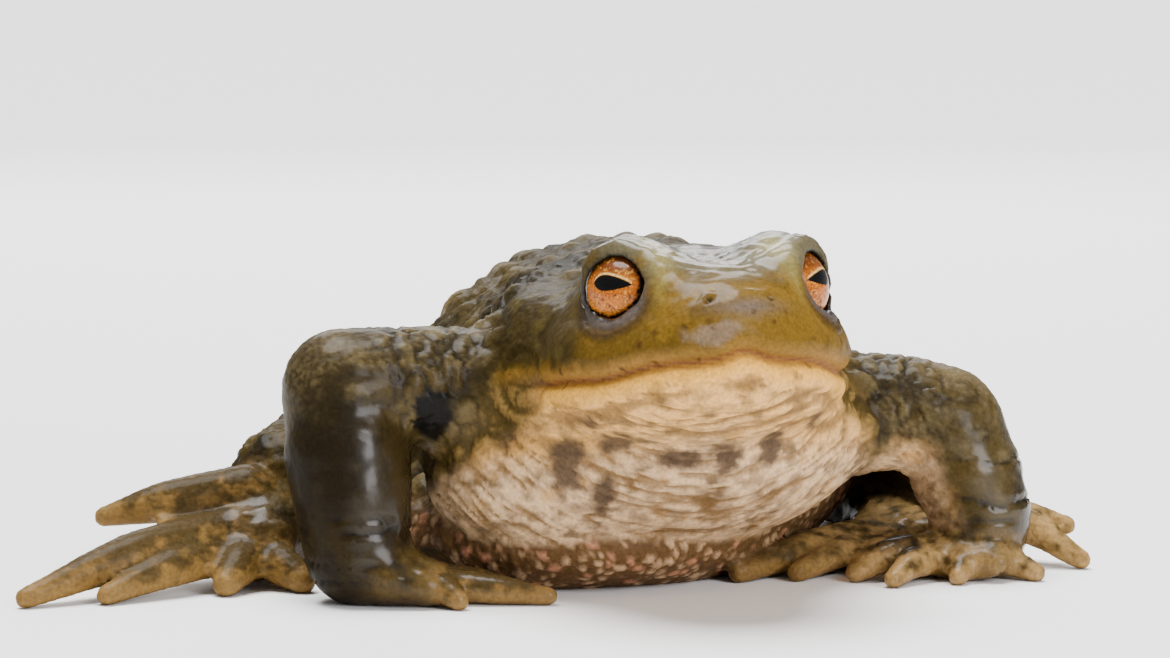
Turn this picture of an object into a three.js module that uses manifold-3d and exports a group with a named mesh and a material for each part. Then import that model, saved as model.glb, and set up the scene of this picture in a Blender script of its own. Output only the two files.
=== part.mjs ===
// A common toad at rest, life size, as a still model for a museum case.
// Millimetres, +Z up. The toad faces -Y, its left side is +X, and the floor is Z = 0.
import * as THREE from "three";
import { mergeVertices } from "three/addons/utils/BufferGeometryUtils.js";
import Module from "manifold-3d";

const wasm = await Module();
wasm.setup();

// Driving sizes of the animal.
const SNOUT_TO_VENT = 75;
const MOUTH_HALF_WIDTH = 0.187 * SNOUT_TO_VENT;
const HEAD_LENGTH = 0.267 * SNOUT_TO_VENT;
const EYE_RADIUS = 0.053 * SNOUT_TO_VENT;
const BACK_HEIGHT = 0.415 * SNOUT_TO_VENT;
const GAP = 0.3;

// Where the head is carried: the middle of the line between the corners of the mouth.
const HEAD_PLACE = new THREE.Vector3(0.4, -21.3, 20.4);
const HEAD_TURN = THREE.MathUtils.degToRad(7);
const HEAD_LIFT = THREE.MathUtils.degToRad(11.5);

// How finely each form is cut into facets.
const TRUNK_DETAIL = 8;
const HEAD_DETAIL = 8;
const EYE_DETAIL = 3;
const LIMB_SIDES = 10;
const DIGIT_SIDES = 8;
const RINGS_PER_SPAN = 2;

// Colours and finish of each kind of surface.
const FINISH = {
  back: { color: 0x5d5233, roughness: 0.42 },
  face: { color: 0x7d6b35, roughness: 0.4 },
  jaw: { color: 0xd3bb86, roughness: 0.45 },
  limb: { color: 0x565033, roughness: 0.42 },
  digit: { color: 0x8a6a36, roughness: 0.45 },
  eye: { color: 0xc4682a, roughness: 0.08 },
};

// Solids: from a geometry to a closed body and back.

function solidOf(geometry) {
  const bare = new THREE.BufferGeometry();
  bare.setAttribute("position", geometry.getAttribute("position"));
  if (geometry.index) bare.setIndex(geometry.index);
  const merged = mergeVertices(bare, 1e-4);
  return new wasm.Manifold(
    new wasm.Mesh({
      numProp: 3,
      vertProperties: new Float32Array(merged.attributes.position.array),
      triVerts: new Uint32Array(merged.index.array),
    }),
  );
}

function largestBody(solid) {
  const bodies = solid.decompose();
  return bodies.reduce((best, body) => (body.volume() > best.volume() ? body : best));
}

function geometryOf(solid) {
  const mesh = solid.getMesh();
  const places = new Float32Array(mesh.numVert * 3);
  for (let i = 0; i < mesh.numVert; i++) {
    places.set(mesh.vertProperties.subarray(i * mesh.numProp, i * mesh.numProp + 3), i * 3);
  }
  const geometry = new THREE.BufferGeometry();
  geometry.setAttribute("position", new THREE.BufferAttribute(places, 3));
  geometry.setIndex(new THREE.BufferAttribute(new Uint32Array(mesh.triVerts), 1));
  return geometry;
}

// Flesh: rounded masses that run into one another. Each mass is an ellipsoid with its own axes.

const HEAD_FRAME = new THREE.Matrix4().compose(
  HEAD_PLACE,
  new THREE.Quaternion().setFromEuler(new THREE.Euler(-HEAD_LIFT, 0, HEAD_TURN, "ZYX")),
  new THREE.Vector3(1, 1, 1),
);

// A place on the head: across to the toad's left, forward to the snout, and up.
function onHead(across, forward, up) {
  return new THREE.Vector3(across, -forward, up).applyMatrix4(HEAD_FRAME);
}

function mass(centre, radii, turn = [0, 0, 0]) {
  const frame = new THREE.Matrix4()
    .makeRotationFromEuler(new THREE.Euler(...turn.map(THREE.MathUtils.degToRad), "ZYX"))
    .setPosition(...centre);
  return { radii, inverse: frame.invert() };
}

function headMass(centre, radii, turn = [0, 0, 0]) {
  const frame = new THREE.Matrix4()
    .makeRotationFromEuler(new THREE.Euler(...turn.map(THREE.MathUtils.degToRad), "ZYX"))
    .setPosition(centre[0], -centre[1], centre[2]);
  return { radii, inverse: new THREE.Matrix4().multiplyMatrices(HEAD_FRAME, frame).invert() };
}

const local = new THREE.Vector3(); // a mass reads points in its own axes

// Distance from a mass, negative inside: exact on its surface and close to it nearby.
function massDistance({ radii, inverse }, point) {
  local.copy(point).applyMatrix4(inverse);
  const [x, y, z] = [local.x / radii[0], local.y / radii[1], local.z / radii[2]];
  const reach = Math.hypot(x, y, z);
  const slope = Math.hypot(x / radii[0], y / radii[1], z / radii[2]);
  return slope < 1e-9 ? -Math.min(...radii) : (reach * (reach - 1)) / slope;
}

// The smaller of two distances, with a fillet of the given width where they are alike.
function blend(a, b, width) {
  const near = Math.max(width - Math.abs(a - b), 0) / width;
  return Math.min(a, b) - (near * near * width) / 4;
}

function fleshDistance({ masses, fillet }, point) {
  return masses.map((m) => massDistance(m, point)).reduce((a, b) => blend(a, b, fillet));
}

// Where a ray from a point within the flesh leaves it, at a level outside its surface.
function surfacePoint(flesh, centre, direction, level = 0) {
  const FARTHEST = 60;
  const STEP = 0.6;
  const at = (reach) => centre.clone().addScaledVector(direction, reach);
  let outside = FARTHEST;
  while (outside > STEP && fleshDistance(flesh, at(outside)) > level) outside -= STEP;
  let inside = outside;
  outside += STEP;
  for (let halving = 0; halving < 12; halving++) {
    const middle = (inside + outside) / 2;
    if (fleshDistance(flesh, at(middle)) > level) outside = middle;
    else inside = middle;
  }
  return at(inside);
}

// The outward direction of the surface near a point.
function surfaceNormal(flesh, point) {
  const STEP = 0.1;
  const slope = (x, y, z) => {
    const offset = new THREE.Vector3(x, y, z).multiplyScalar(STEP);
    const ahead = fleshDistance(flesh, point.clone().add(offset));
    return ahead - fleshDistance(flesh, point.clone().sub(offset));
  };
  return new THREE.Vector3(slope(1, 0, 0), slope(0, 1, 0), slope(0, 0, 1)).normalize();
}

// The surface of flesh at a level outside it, as a solid.
function wrap(flesh, centre, detail, level = 0) {
  const geometry = new THREE.IcosahedronGeometry(1, detail);
  geometry.deleteAttribute("normal");
  geometry.deleteAttribute("uv");
  const ball = mergeVertices(geometry, 1e-4);
  const places = ball.attributes.position;
  for (let i = 0; i < places.count; i++) {
    const direction = new THREE.Vector3().fromBufferAttribute(places, i).normalize();
    const point = surfacePoint(flesh, centre, direction, level);
    places.setXYZ(i, point.x, point.y, point.z);
  }
  return solidOf(ball);
}

// A limb or digit: a smooth run of oval sections with round ends.
// Each station is [x, y, z, half width, half height], and half height falls back to half width.
function limb(stations, sides, level = 0) {
  const places = stations.map(([x, y, z]) => new THREE.Vector3(x, y, z));
  const path = new THREE.CatmullRomCurve3(places, false, "centripetal");
  const spans = stations.length - 1;
  const rings = spans * RINGS_PER_SPAN;
  const share = (t, pick) => {
    const at = Math.min(Math.floor(t * spans), spans - 1);
    return THREE.MathUtils.lerp(pick(stations[at]), pick(stations[at + 1]), t * spans - at);
  };
  const wide = (t) => share(t, (s) => s[3]) + level;
  const high = (t) => share(t, (s) => s[4] ?? s[3]) + level;
  const fullness = 1 / Math.sqrt(Math.cos(Math.PI / sides));
  const points = [];
  const ring = (centre, along, halfWidth, halfHeight) => {
    const up = new THREE.Vector3(0, 0, 1);
    if (Math.abs(along.z) > 0.8) up.set(0, -1, 0);
    const side = new THREE.Vector3().crossVectors(along, up).normalize();
    up.crossVectors(side, along).normalize();
    for (let k = 0; k < sides; k++) {
      const angle = (2 * Math.PI * k) / sides;
      points.push(
        centre
          .clone()
          .addScaledVector(side, Math.cos(angle) * halfWidth * fullness)
          .addScaledVector(up, Math.sin(angle) * halfHeight * fullness),
      );
    }
  };
  const cap = (t, sign) => {
    const centre = path.getPoint(t);
    const along = path.getTangent(t);
    const depth = Math.min(wide(t), high(t));
    const out = centre.clone().addScaledVector(along, sign * depth);
    const half = centre.clone().addScaledVector(along, sign * depth * Math.SQRT1_2);
    const rim = () => ring(half, along, wide(t) * Math.SQRT1_2, high(t) * Math.SQRT1_2);
    return { out, rim };
  };
  const [start, end] = [cap(0, -1), cap(1, 1)];
  points.push(start.out);
  start.rim();
  for (let i = 0; i <= rings; i++) {
    const t = i / rings;
    ring(path.getPoint(t), path.getTangent(t), wide(t), high(t));
  }
  end.rim();
  points.push(end.out);
  const faces = [];
  const bands = rings + 2;
  const last = points.length - 1;
  for (let k = 0; k < sides; k++) {
    const next = (k + 1) % sides;
    faces.push(0, 1 + next, 1 + k);
    for (let i = 0; i < bands; i++) {
      const [low, top] = [1 + i * sides, 1 + (i + 1) * sides];
      faces.push(low + k, low + next, top + next, low + k, top + next, top + k);
    }
    faces.push(last, last - sides + k, last - sides + next);
  }
  const geometry = new THREE.BufferGeometry().setFromPoints(points);
  geometry.setIndex(faces);
  const solid = solidOf(geometry);
  if (solid.volume() > 0) return solid;
  for (let i = 0; i < faces.length; i += 3) {
    [faces[i + 1], faces[i + 2]] = [faces[i + 2], faces[i + 1]];
  }
  geometry.setIndex(faces);
  return solidOf(geometry);
}

// Trunk.

const TRUNK_CENTRE = new THREE.Vector3(1, 4, 15);
const TRUNK = {
  fillet: 5,
  masses: [
    mass([0.3, 7, 13.4], [22.2, 26, BACK_HEIGHT - 13.4]),
    mass([0.3, -11, 14.5], [20, 15.5, 11.3]),
    mass([0.4, -7, 20], [14, 14, BACK_HEIGHT - 20.7]),
    mass([-0.4, 10, 7.8], [23.5, 18, 8]),
    mass([1, 26, 14.5], [11, 8.5, 9]),
    mass([0.8, -21, 15.3], [11.5, 9, 6]),
    mass([-10.8, -11.5, 25.8], [3.6, 8, 3.2], [0, 0, -12]),
    mass([11, -10, 26], [3.4, 8, 3.2], [0, 0, 14]),
  ],
};

// Head. The eyes look out sideways and a little forward.

const EYE_SPREAD = 7.4;
const EYE_FORWARD = 10.2;
const EYE_HEIGHT = 7;
const EYE_AIM = THREE.MathUtils.degToRad(42);
const LID_RADIUS = 3.35;
const LID_THICKNESS = 0.75;
const NOSTRIL_SPREAD = 2.4;
const NOSTRIL_RADIUS = 0.7;
const HEAD_CENTRE = onHead(0, 4, 2.5);
const HEAD = {
  fillet: 3,
  masses: [
    headMass([0, 4.5, 2], [MOUTH_HALF_WIDTH, HEAD_LENGTH - 4.5, 6.2]),
    headMass([0, 0, 4.4], [12.6, 12, 5.3]),
    headMass([0, 6, 4.6], [8.6, 11.5, 5]),
    headMass([0, -0.5, 8.2], [8.5, 9, 4]),
    headMass([0, 12.5, 3.4], [7.2, 7.2, 4]),
    headMass([0, 3, -2], [MOUTH_HALF_WIDTH - 0.5, HEAD_LENGTH - 3.6, 5]),
    headMass([EYE_SPREAD - 0.5, EYE_FORWARD - 1.4, 7.6], [3.9, 4.7, 4.7]),
    headMass([0.5 - EYE_SPREAD, EYE_FORWARD - 1.4, 7.6], [3.9, 4.7, 4.7]),
    headMass([4.3, EYE_FORWARD + 1, 6.9], [2.3, 4.8, 2.7], [0, 0, 22]),
    headMass([-4.3, EYE_FORWARD + 1, 6.9], [2.3, 4.8, 2.7], [0, 0, -22]),
  ],
};

function eyeFrame(side) {
  const centre = onHead(side * EYE_SPREAD, EYE_FORWARD, EYE_HEIGHT);
  const aim = onHead(
    side * (EYE_SPREAD + Math.sin(EYE_AIM)),
    EYE_FORWARD + Math.cos(EYE_AIM),
    EYE_HEIGHT + 0.05,
  ).sub(centre);
  return { centre, aim: aim.normalize() };
}

function ball(centre, radius, detail) {
  const geometry = new THREE.IcosahedronGeometry(radius, detail);
  geometry.translate(centre.x, centre.y, centre.z);
  return solidOf(geometry);
}

// The rim of the lids: a ring that hugs the eyeball round its opening.
function lidRing(side) {
  const { centre, aim } = eyeFrame(side);
  const ring = new THREE.TorusGeometry(LID_RADIUS, LID_THICKNESS, 6, 18);
  const turn = new THREE.Quaternion().setFromUnitVectors(new THREE.Vector3(0, 0, 1), aim);
  const place = centre.clone().addScaledVector(aim, EYE_RADIUS * 0.6);
  ring.applyMatrix4(new THREE.Matrix4().compose(place, turn, new THREE.Vector3(1, 1, 1)));
  return solidOf(ring);
}

function nostril(side) {
  const towards = onHead(side * NOSTRIL_SPREAD, 16, 5.8).sub(HEAD_CENTRE).normalize();
  return ball(surfacePoint(HEAD, HEAD_CENTRE, towards), NOSTRIL_RADIUS, 1);
}

// Height of the line of the mouth across the head: a notch in front, and a droop at each corner.
function mouthHeight(across) {
  const notch = 0.75 * Math.exp(-((across / 2) ** 2));
  const droop = -0.7 * Math.exp(-(((Math.abs(across) - 11.5) / 2.6) ** 2));
  return notch + droop - 0.3;
}

// All that lies below the line of the mouth, lowered by a drop.
function belowMouth(drop) {
  const REACH = 26;
  const outline = new THREE.Shape();
  outline.moveTo(-REACH, -REACH);
  outline.lineTo(REACH, -REACH);
  for (let across = REACH; across >= -REACH; across -= 1) {
    outline.lineTo(across, mouthHeight(across) - drop);
  }
  const block = new THREE.ExtrudeGeometry(outline, { depth: 2 * REACH, bevelEnabled: false });
  block.applyMatrix4(
    new THREE.Matrix4().makeBasis(
      new THREE.Vector3(1, 0, 0),
      new THREE.Vector3(0, 0, 1),
      new THREE.Vector3(0, -1, 0),
    ),
  );
  block.translate(0, REACH, 0);
  block.applyMatrix4(HEAD_FRAME);
  return solidOf(block);
}

// Everything above the floor, so that what reaches it ends in a small flat.
function aboveFloor() {
  const SPAN = 200;
  const block = new THREE.BoxGeometry(SPAN, SPAN, SPAN);
  block.translate(0, 0, SPAN / 2);
  return solidOf(block);
}

// Limbs and digits, as stations from root to tip.

const LIMBS = {
  right_upper_arm: [
    [-11, -12, 18, 6.4],
    [-17.5, -14, 18.7, 6],
    [-24, -15.5, 19.5, 5.4],
    [-30.4, -16.4, 19.4, 5.6],
  ],
  right_forearm: [
    [-30.4, -17.1, 17, 5],
    [-30.1, -18, 13.6, 5.9],
    [-29.8, -19, 9.6, 5.5],
    [-29.4, -20, 4.6, 4.9],
  ],
  right_hand: [
    [-28.4, -20.2, 3, 3.2, 2.6],
    [-26, -21, 2.6, 4.6, 2.8],
    [-23, -21.8, 1.9, 4.2, 2],
  ],
  left_upper_arm: [
    [11, -8, 16, 6.4],
    [18.5, -9.8, 15.4, 5.9],
    [24, -11, 15.4, 5.5],
    [28, -11.6, 14.4, 5.5],
  ],
  left_forearm: [
    [28.9, -12, 12.2, 5],
    [30, -12.5, 9.6, 5.4],
    [31.2, -13, 6.4, 4.9],
    [31.2, -13.3, 4.2, 4.6, 3.8],
  ],
  left_hand: [
    [30.8, -12.8, 2.9, 4.2, 2.9],
    [29.6, -14.6, 2.4, 5, 2.5],
    [28.4, -16, 1.8, 5.2, 1.9],
  ],
  right_thigh: [
    [-12, 19, 13, 8.5],
    [-23.5, 10, 11.2, 7.2],
    [-34.6, 0.2, 9, 4.9],
  ],
  right_shank: [
    [-34.8, 1.8, 8, 4.4],
    [-31.5, 10, 7.6, 5.3],
    [-26, 21, 5.6, 3.8],
  ],
  right_tarsus: [
    [-26, 21.5, 3.2, 3.4],
    [-29.5, 11, 2.9, 3.1],
    [-33.5, 1, 3.2, 3.2],
  ],
  right_foot: [
    [-33.5, 1, 3.4, 3.4, 3.3],
    [-36.4, -4, 4.6, 4.6, 4.5],
    [-38.8, -7.4, 4.2, 4.8, 3.4],
  ],
  left_thigh: [
    [13.5, 19, 13, 8.5],
    [22.5, 11, 11.6, 7.4],
    [30, 1.6, 9.4, 5],
  ],
  left_shank: [
    [30.6, 3, 8.4, 4.4],
    [29.5, 11, 7.6, 5.3],
    [25.5, 21, 5.6, 3.8],
  ],
  left_tarsus: [
    [25.5, 21.5, 3.2, 3.4],
    [25.8, 11, 2.9, 3.1],
    [26, 2.5, 3, 3.2],
  ],
  left_foot: [
    [26, 2, 3, 3.4, 3],
    [25.6, -2.5, 2.6, 4.8, 2.7],
    [24.6, -5.5, 2.3, 5.4, 2.2],
  ],
};

const DIGITS = {
  right_finger_1: [
    [-25.4, -19.2, 3, 1.6],
    [-22.6, -18.2, 3, 1.6],
    [-20.2, -17.7, 1.6, 1.1],
  ],
  right_finger_2: [
    [-23.6, -20.6, 2, 1.5],
    [-19, -19.8, 1.7, 1.3],
    [-14.6, -19.9, 0.8, 0.85],
  ],
  right_finger_3: [
    [-23, -22.2, 1.9, 1.5],
    [-17, -23.4, 1.4, 1.35],
    [-12.4, -24.4, 0.8, 0.85],
  ],
  right_finger_4: [
    [-23.6, -22.8, 1.8, 1.4],
    [-22, -24.4, 1.6, 1.3],
    [-20.8, -25.8, 0.8, 0.9],
  ],
  left_finger_1: [
    [26.6, -13.8, 2.6, 1.6],
    [22, -15.4, 2.4, 1.6],
    [18.4, -16.3, 0.9, 1],
  ],
  left_finger_2: [
    [27, -15.4, 2, 1.5],
    [23.6, -17.6, 1.8, 1.4],
    [21.2, -20, 0.8, 0.9],
  ],
  left_finger_3: [
    [28.8, -15.8, 1.8, 1.5],
    [28.2, -17.8, 1.5, 1.4],
    [27.6, -19.4, 0.8, 0.9],
  ],
  left_finger_4: [
    [31, -14.8, 1.9, 1.5],
    [33.4, -16.8, 1.6, 1.35],
    [35.4, -18.4, 0.8, 0.9],
  ],
  right_toe_1: [
    [-37, -8.6, 2.8, 2],
    [-35.8, -11.6, 2.2, 1.9],
    [-34, -14, 1.1, 1.25],
  ],
  right_toe_2: [
    [-38.4, -8.8, 2.9, 2.1],
    [-39.8, -12, 2.4, 2],
    [-41.2, -14.8, 1.1, 1.25],
  ],
  right_toe_3: [
    [-40, -8.8, 3.2, 2],
    [-46, -13.6, 2.6, 1.8],
    [-52.4, -18, 0.9, 0.95],
  ],
  right_toe_4: [
    [-40.2, -7.6, 4.8, 2.4],
    [-50, -13.4, 3.7, 2.15],
    [-59.8, -18.6, 0.9, 0.95],
  ],
  right_toe_5: [
    [-38.6, -4.6, 8.2, 2.7],
    [-46, -6.2, 7.7, 2],
    [-52, -6, 6.4, 0.95],
  ],
  left_toe_1: [
    [22, -5, 2.6, 1.9],
    [15, -10.4, 2.4, 1.7],
    [7.4, -14.8, 0.9, 1],
  ],
  left_toe_2: [
    [22.6, -6.4, 2.3, 1.7],
    [18, -11, 2, 1.5],
    [13, -15, 0.9, 1],
  ],
  left_toe_3: [
    [24.6, -7, 2.2, 1.7],
    [22, -10.4, 1.8, 1.5],
    [19.6, -12.9, 0.9, 1],
  ],
  left_toe_4: [
    [27.4, -5.6, 2.6, 1.9],
    [36, -8.8, 4, 1.8],
    [41.6, -12, 0.9, 0.95],
  ],
  left_toe_5: [
    [27.6, -4, 3, 1.7],
    [35.4, -6.4, 4.8, 1.5],
    [41, -8.8, 3.8, 0.9],
  ],
};

// Webs of the hind feet: a thin sheet between two toes, to about half their length.

const WEB_THICKNESS = 0.8;
const WEB_REACH = 0.64;
const WEB_SCALLOP = 0.14;

function web(near, far, thickness) {
  const ACROSS = 4;
  const ALONG = 4;
  const paths = [near, far].map(
    (stations) =>
      new THREE.CatmullRomCurve3(stations.map(([x, y, z]) => new THREE.Vector3(x, y, z))),
  );
  const sheet = (u, v) => {
    const reach = v * (WEB_REACH - WEB_SCALLOP * Math.sin(Math.PI * u));
    return paths[0].getPoint(reach).lerp(paths[1].getPoint(reach), u);
  };
  const run = sheet(0.5, 1).sub(sheet(0.5, 0));
  const spread = sheet(1, 1).sub(sheet(0, 1));
  const lift = run.cross(spread).normalize().multiplyScalar(thickness / 2);
  const points = [];
  for (const face of [1, -1]) {
    for (let i = 0; i <= ACROSS; i++) {
      for (let j = 0; j <= ALONG; j++) {
        points.push(sheet(i / ACROSS, j / ALONG).addScaledVector(lift, face));
      }
    }
  }
  const row = ALONG + 1;
  const under = (ACROSS + 1) * row;
  const faces = [];
  const quad = (a, b, c, d) => faces.push(a, b, c, a, c, d);
  for (let i = 0; i < ACROSS; i++) {
    for (let j = 0; j < ALONG; j++) {
      const at = i * row + j;
      faces.push(at, at + 1, at + row, at + 1, at + row + 1, at + row);
      faces.push(under + at, under + at + row, under + at + 1);
      faces.push(under + at + 1, under + at + row, under + at + row + 1);
    }
    const [start, end] = [i * row, i * row + ALONG];
    quad(start, start + row, under + start + row, under + start);
    quad(end, under + end, under + end + row, end + row);
  }
  for (let j = 0; j < ALONG; j++) {
    const last = ACROSS * row;
    quad(j, under + j, under + j + 1, j + 1);
    quad(last + j, last + j + 1, under + last + j + 1, under + last + j);
  }
  const geometry = new THREE.BufferGeometry().setFromPoints(points);
  geometry.setIndex(faces);
  const solid = solidOf(geometry);
  if (solid.volume() > 0) return solid;
  for (let i = 0; i < faces.length; i += 3) {
    [faces[i + 1], faces[i + 2]] = [faces[i + 2], faces[i + 1]];
  }
  geometry.setIndex(faces);
  return solidOf(geometry);
}

// Each toe that carries a web, and the toe that the web reaches to.
const WEBS = {
  right_toe_2: "right_toe_1",
  right_toe_3: "right_toe_2",
  right_toe_4: "right_toe_3",
  right_toe_5: "right_toe_4",
  left_toe_2: "left_toe_1",
  left_toe_3: "left_toe_2",
  left_toe_5: "left_toe_4",
};

// Warts: low domes scattered over the back, each with its root sunk into the skin.

const WART_SEED = 11;
const WART_TRIES = 520;
const WART_RADII = [2.1, 1.8, 1.5];
const WART_HEIGHT = 0.42;
const WART_SPACING = 1.5;
const WART_LEAN = 0.15;
const WART_CLEARANCE = 0.8;

// A small seeded draw, from 0 to 1.
function seededDraw(seed) {
  let state = seed;
  return () => {
    state = (state * 1664525 + 1013904223) % 4294967296;
    return state / 4294967296;
  };
}

function distanceToLimb(stations, point) {
  const ends = stations.map(([x, y, z]) => new THREE.Vector3(x, y, z));
  const spans = ends.slice(1).map((end, i) => {
    const nearest = new THREE.Line3(ends[i], end).closestPointToPoint(point, true, local);
    return nearest.distanceTo(point) - Math.max(stations[i][3], stations[i + 1][3]);
  });
  return Math.min(...spans);
}

function wartDome(point, normal, radius) {
  const dome = new THREE.SphereGeometry(1, 7, 4);
  const turn = new THREE.Quaternion().setFromUnitVectors(new THREE.Vector3(0, 1, 0), normal);
  const scale = new THREE.Vector3(radius, radius * WART_HEIGHT, radius);
  dome.applyMatrix4(new THREE.Matrix4().compose(point, turn, scale));
  return solidOf(dome);
}

function warts(flesh, centre, keepClear) {
  const draw = seededDraw(WART_SEED);
  const domes = [];
  const set = [];
  for (let i = 0; i < WART_TRIES; i++) {
    const [height, turn] = [2 * draw() - 1, 2 * Math.PI * draw()];
    const radius = WART_RADII[Math.floor(draw() * WART_RADII.length)];
    const flat = Math.sqrt(1 - height * height);
    const direction = new THREE.Vector3(flat * Math.cos(turn), flat * Math.sin(turn), height);
    const point = surfacePoint(flesh, centre, direction);
    const normal = surfaceNormal(flesh, point);
    const crowded = set.some((w) => w.point.distanceTo(point) < WART_SPACING * (w.radius + radius));
    const covered = keepClear.some((distance) => distance(point) < radius + WART_CLEARANCE);
    if (crowded || covered || normal.z < WART_LEAN) continue;
    set.push({ point, radius });
    domes.push(wartDome(point, normal, radius));
  }
  return domes;
}

// Assembly. Each new piece is cut clear of those already placed, so that they meet face to face.

const toad = new THREE.Group();
const posed = new THREE.Group();
toad.add(posed);
const floorSpace = aboveFloor();
const placed = [];

function addNode(name, solid, swollen, finish) {
  const body = largestBody(solid);
  const mesh = new THREE.Mesh(
    geometryOf(body),
    new THREE.MeshStandardMaterial({ ...finish, metalness: 0 }),
  );
  mesh.name = name;
  posed.add(mesh);
  placed.push(swollen);
}

function clearOf(solid, others) {
  return others.reduce((left, other) => left.subtract(other), solid);
}

const neighbours = [
  (point) => fleshDistance(HEAD, point),
  ...Object.values(LIMBS).map((stations) => (point) => distanceToLimb(stations, point)),
];
const trunk = warts(TRUNK, TRUNK_CENTRE, neighbours)
  .reduce((body, dome) => body.add(dome), wrap(TRUNK, TRUNK_CENTRE, TRUNK_DETAIL))
  .intersect(floorSpace);
addNode("trunk", trunk, wrap(TRUNK, TRUNK_CENTRE, TRUNK_DETAIL, GAP), FINISH.back);

const eyes = [1, -1].map((side) => eyeFrame(side).centre);
const sockets = eyes.map((centre) => ball(centre, EYE_RADIUS + GAP, EYE_DETAIL));
const wholeHead = clearOf(
  wrap(HEAD, HEAD_CENTRE, HEAD_DETAIL).add(lidRing(1)).add(lidRing(-1)),
  [...placed, ...sockets, nostril(1), nostril(-1)],
);
const swollenHead = wrap(HEAD, HEAD_CENTRE, HEAD_DETAIL, GAP);
addNode("head", wholeHead.subtract(belowMouth(0)), swollenHead, FINISH.face);
addNode("lower_jaw", wholeHead.intersect(belowMouth(GAP)), swollenHead, FINISH.jaw);
eyes.forEach((centre, i) => {
  const name = i === 0 ? "eye_left" : "eye_right";
  addNode(name, ball(centre, EYE_RADIUS, EYE_DETAIL), sockets[i], FINISH.eye);
});

function addRun(table, sides, finish) {
  for (const [name, stations] of Object.entries(table)) {
    const form = (level) => {
      const plain = limb(stations, sides, level);
      if (!WEBS[name]) return plain;
      return plain.add(web(stations, table[WEBS[name]], WEB_THICKNESS + 2 * level));
    };
    addNode(name, clearOf(form(0).intersect(floorSpace), placed), form(GAP), finish);
  }
}

addRun(LIMBS, LIMB_SIDES, FINISH.limb);
addRun(DIGITS, DIGIT_SIDES, FINISH.digit);

// The origin is on the floor, in the middle of the whole model in plan.
const reach = new THREE.Box3().setFromObject(posed);
posed.position.set(-(reach.min.x + reach.max.x) / 2, -(reach.min.y + reach.max.y) / 2, 0);

export default toad;
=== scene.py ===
"""Looks of a common toad at rest, life size, as a still model for a museum case.

Shapes are worked out in millimetres in the toad's own axes: X to its left, Y to its rear, Z up from
the floor. Flesh is a field of signed distance, built from rounded masses and limbs that run into
one another, and the skin is the surface where that field is zero, with warts and folds on it.
"""

import enum
import logging
import math
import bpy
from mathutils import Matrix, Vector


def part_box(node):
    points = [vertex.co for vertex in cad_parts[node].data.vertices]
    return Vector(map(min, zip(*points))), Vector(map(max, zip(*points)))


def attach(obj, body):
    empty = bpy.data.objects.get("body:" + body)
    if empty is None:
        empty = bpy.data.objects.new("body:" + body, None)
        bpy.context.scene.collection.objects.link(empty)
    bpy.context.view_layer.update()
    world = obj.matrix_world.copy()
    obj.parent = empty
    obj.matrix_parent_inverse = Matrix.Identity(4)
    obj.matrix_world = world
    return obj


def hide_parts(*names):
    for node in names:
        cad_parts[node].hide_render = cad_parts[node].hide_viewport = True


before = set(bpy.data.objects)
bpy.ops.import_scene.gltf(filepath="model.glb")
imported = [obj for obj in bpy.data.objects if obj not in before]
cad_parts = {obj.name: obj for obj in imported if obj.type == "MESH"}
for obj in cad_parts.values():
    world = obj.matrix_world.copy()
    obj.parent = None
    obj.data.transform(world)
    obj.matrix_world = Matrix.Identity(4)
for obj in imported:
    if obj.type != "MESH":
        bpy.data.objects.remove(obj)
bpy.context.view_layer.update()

from concurrent.futures import ThreadPoolExecutor
from dataclasses import dataclass, field

import bpy
import numpy as np
from mathutils import Vector

Array = np.ndarray
Socket = bpy.types.NodeSocket
Range = tuple[float, float]
LOG = logging.getLogger("toad")
MM = 0.001


class Region(enum.Enum):
    """The parts of the skin that differ in wrinkles and colour."""

    TRUNK = "trunk"
    HEAD = "head"
    UPPER_ARM = "upper_arm"
    FOREARM = "forearm"
    HAND = "hand"
    THIGH = "thigh"
    SHANK = "shank"
    TARSUS = "tarsus"
    FOOT = "foot"
    FINGER = "finger"
    TOE = "toe"
    WEB = "web"


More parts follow.
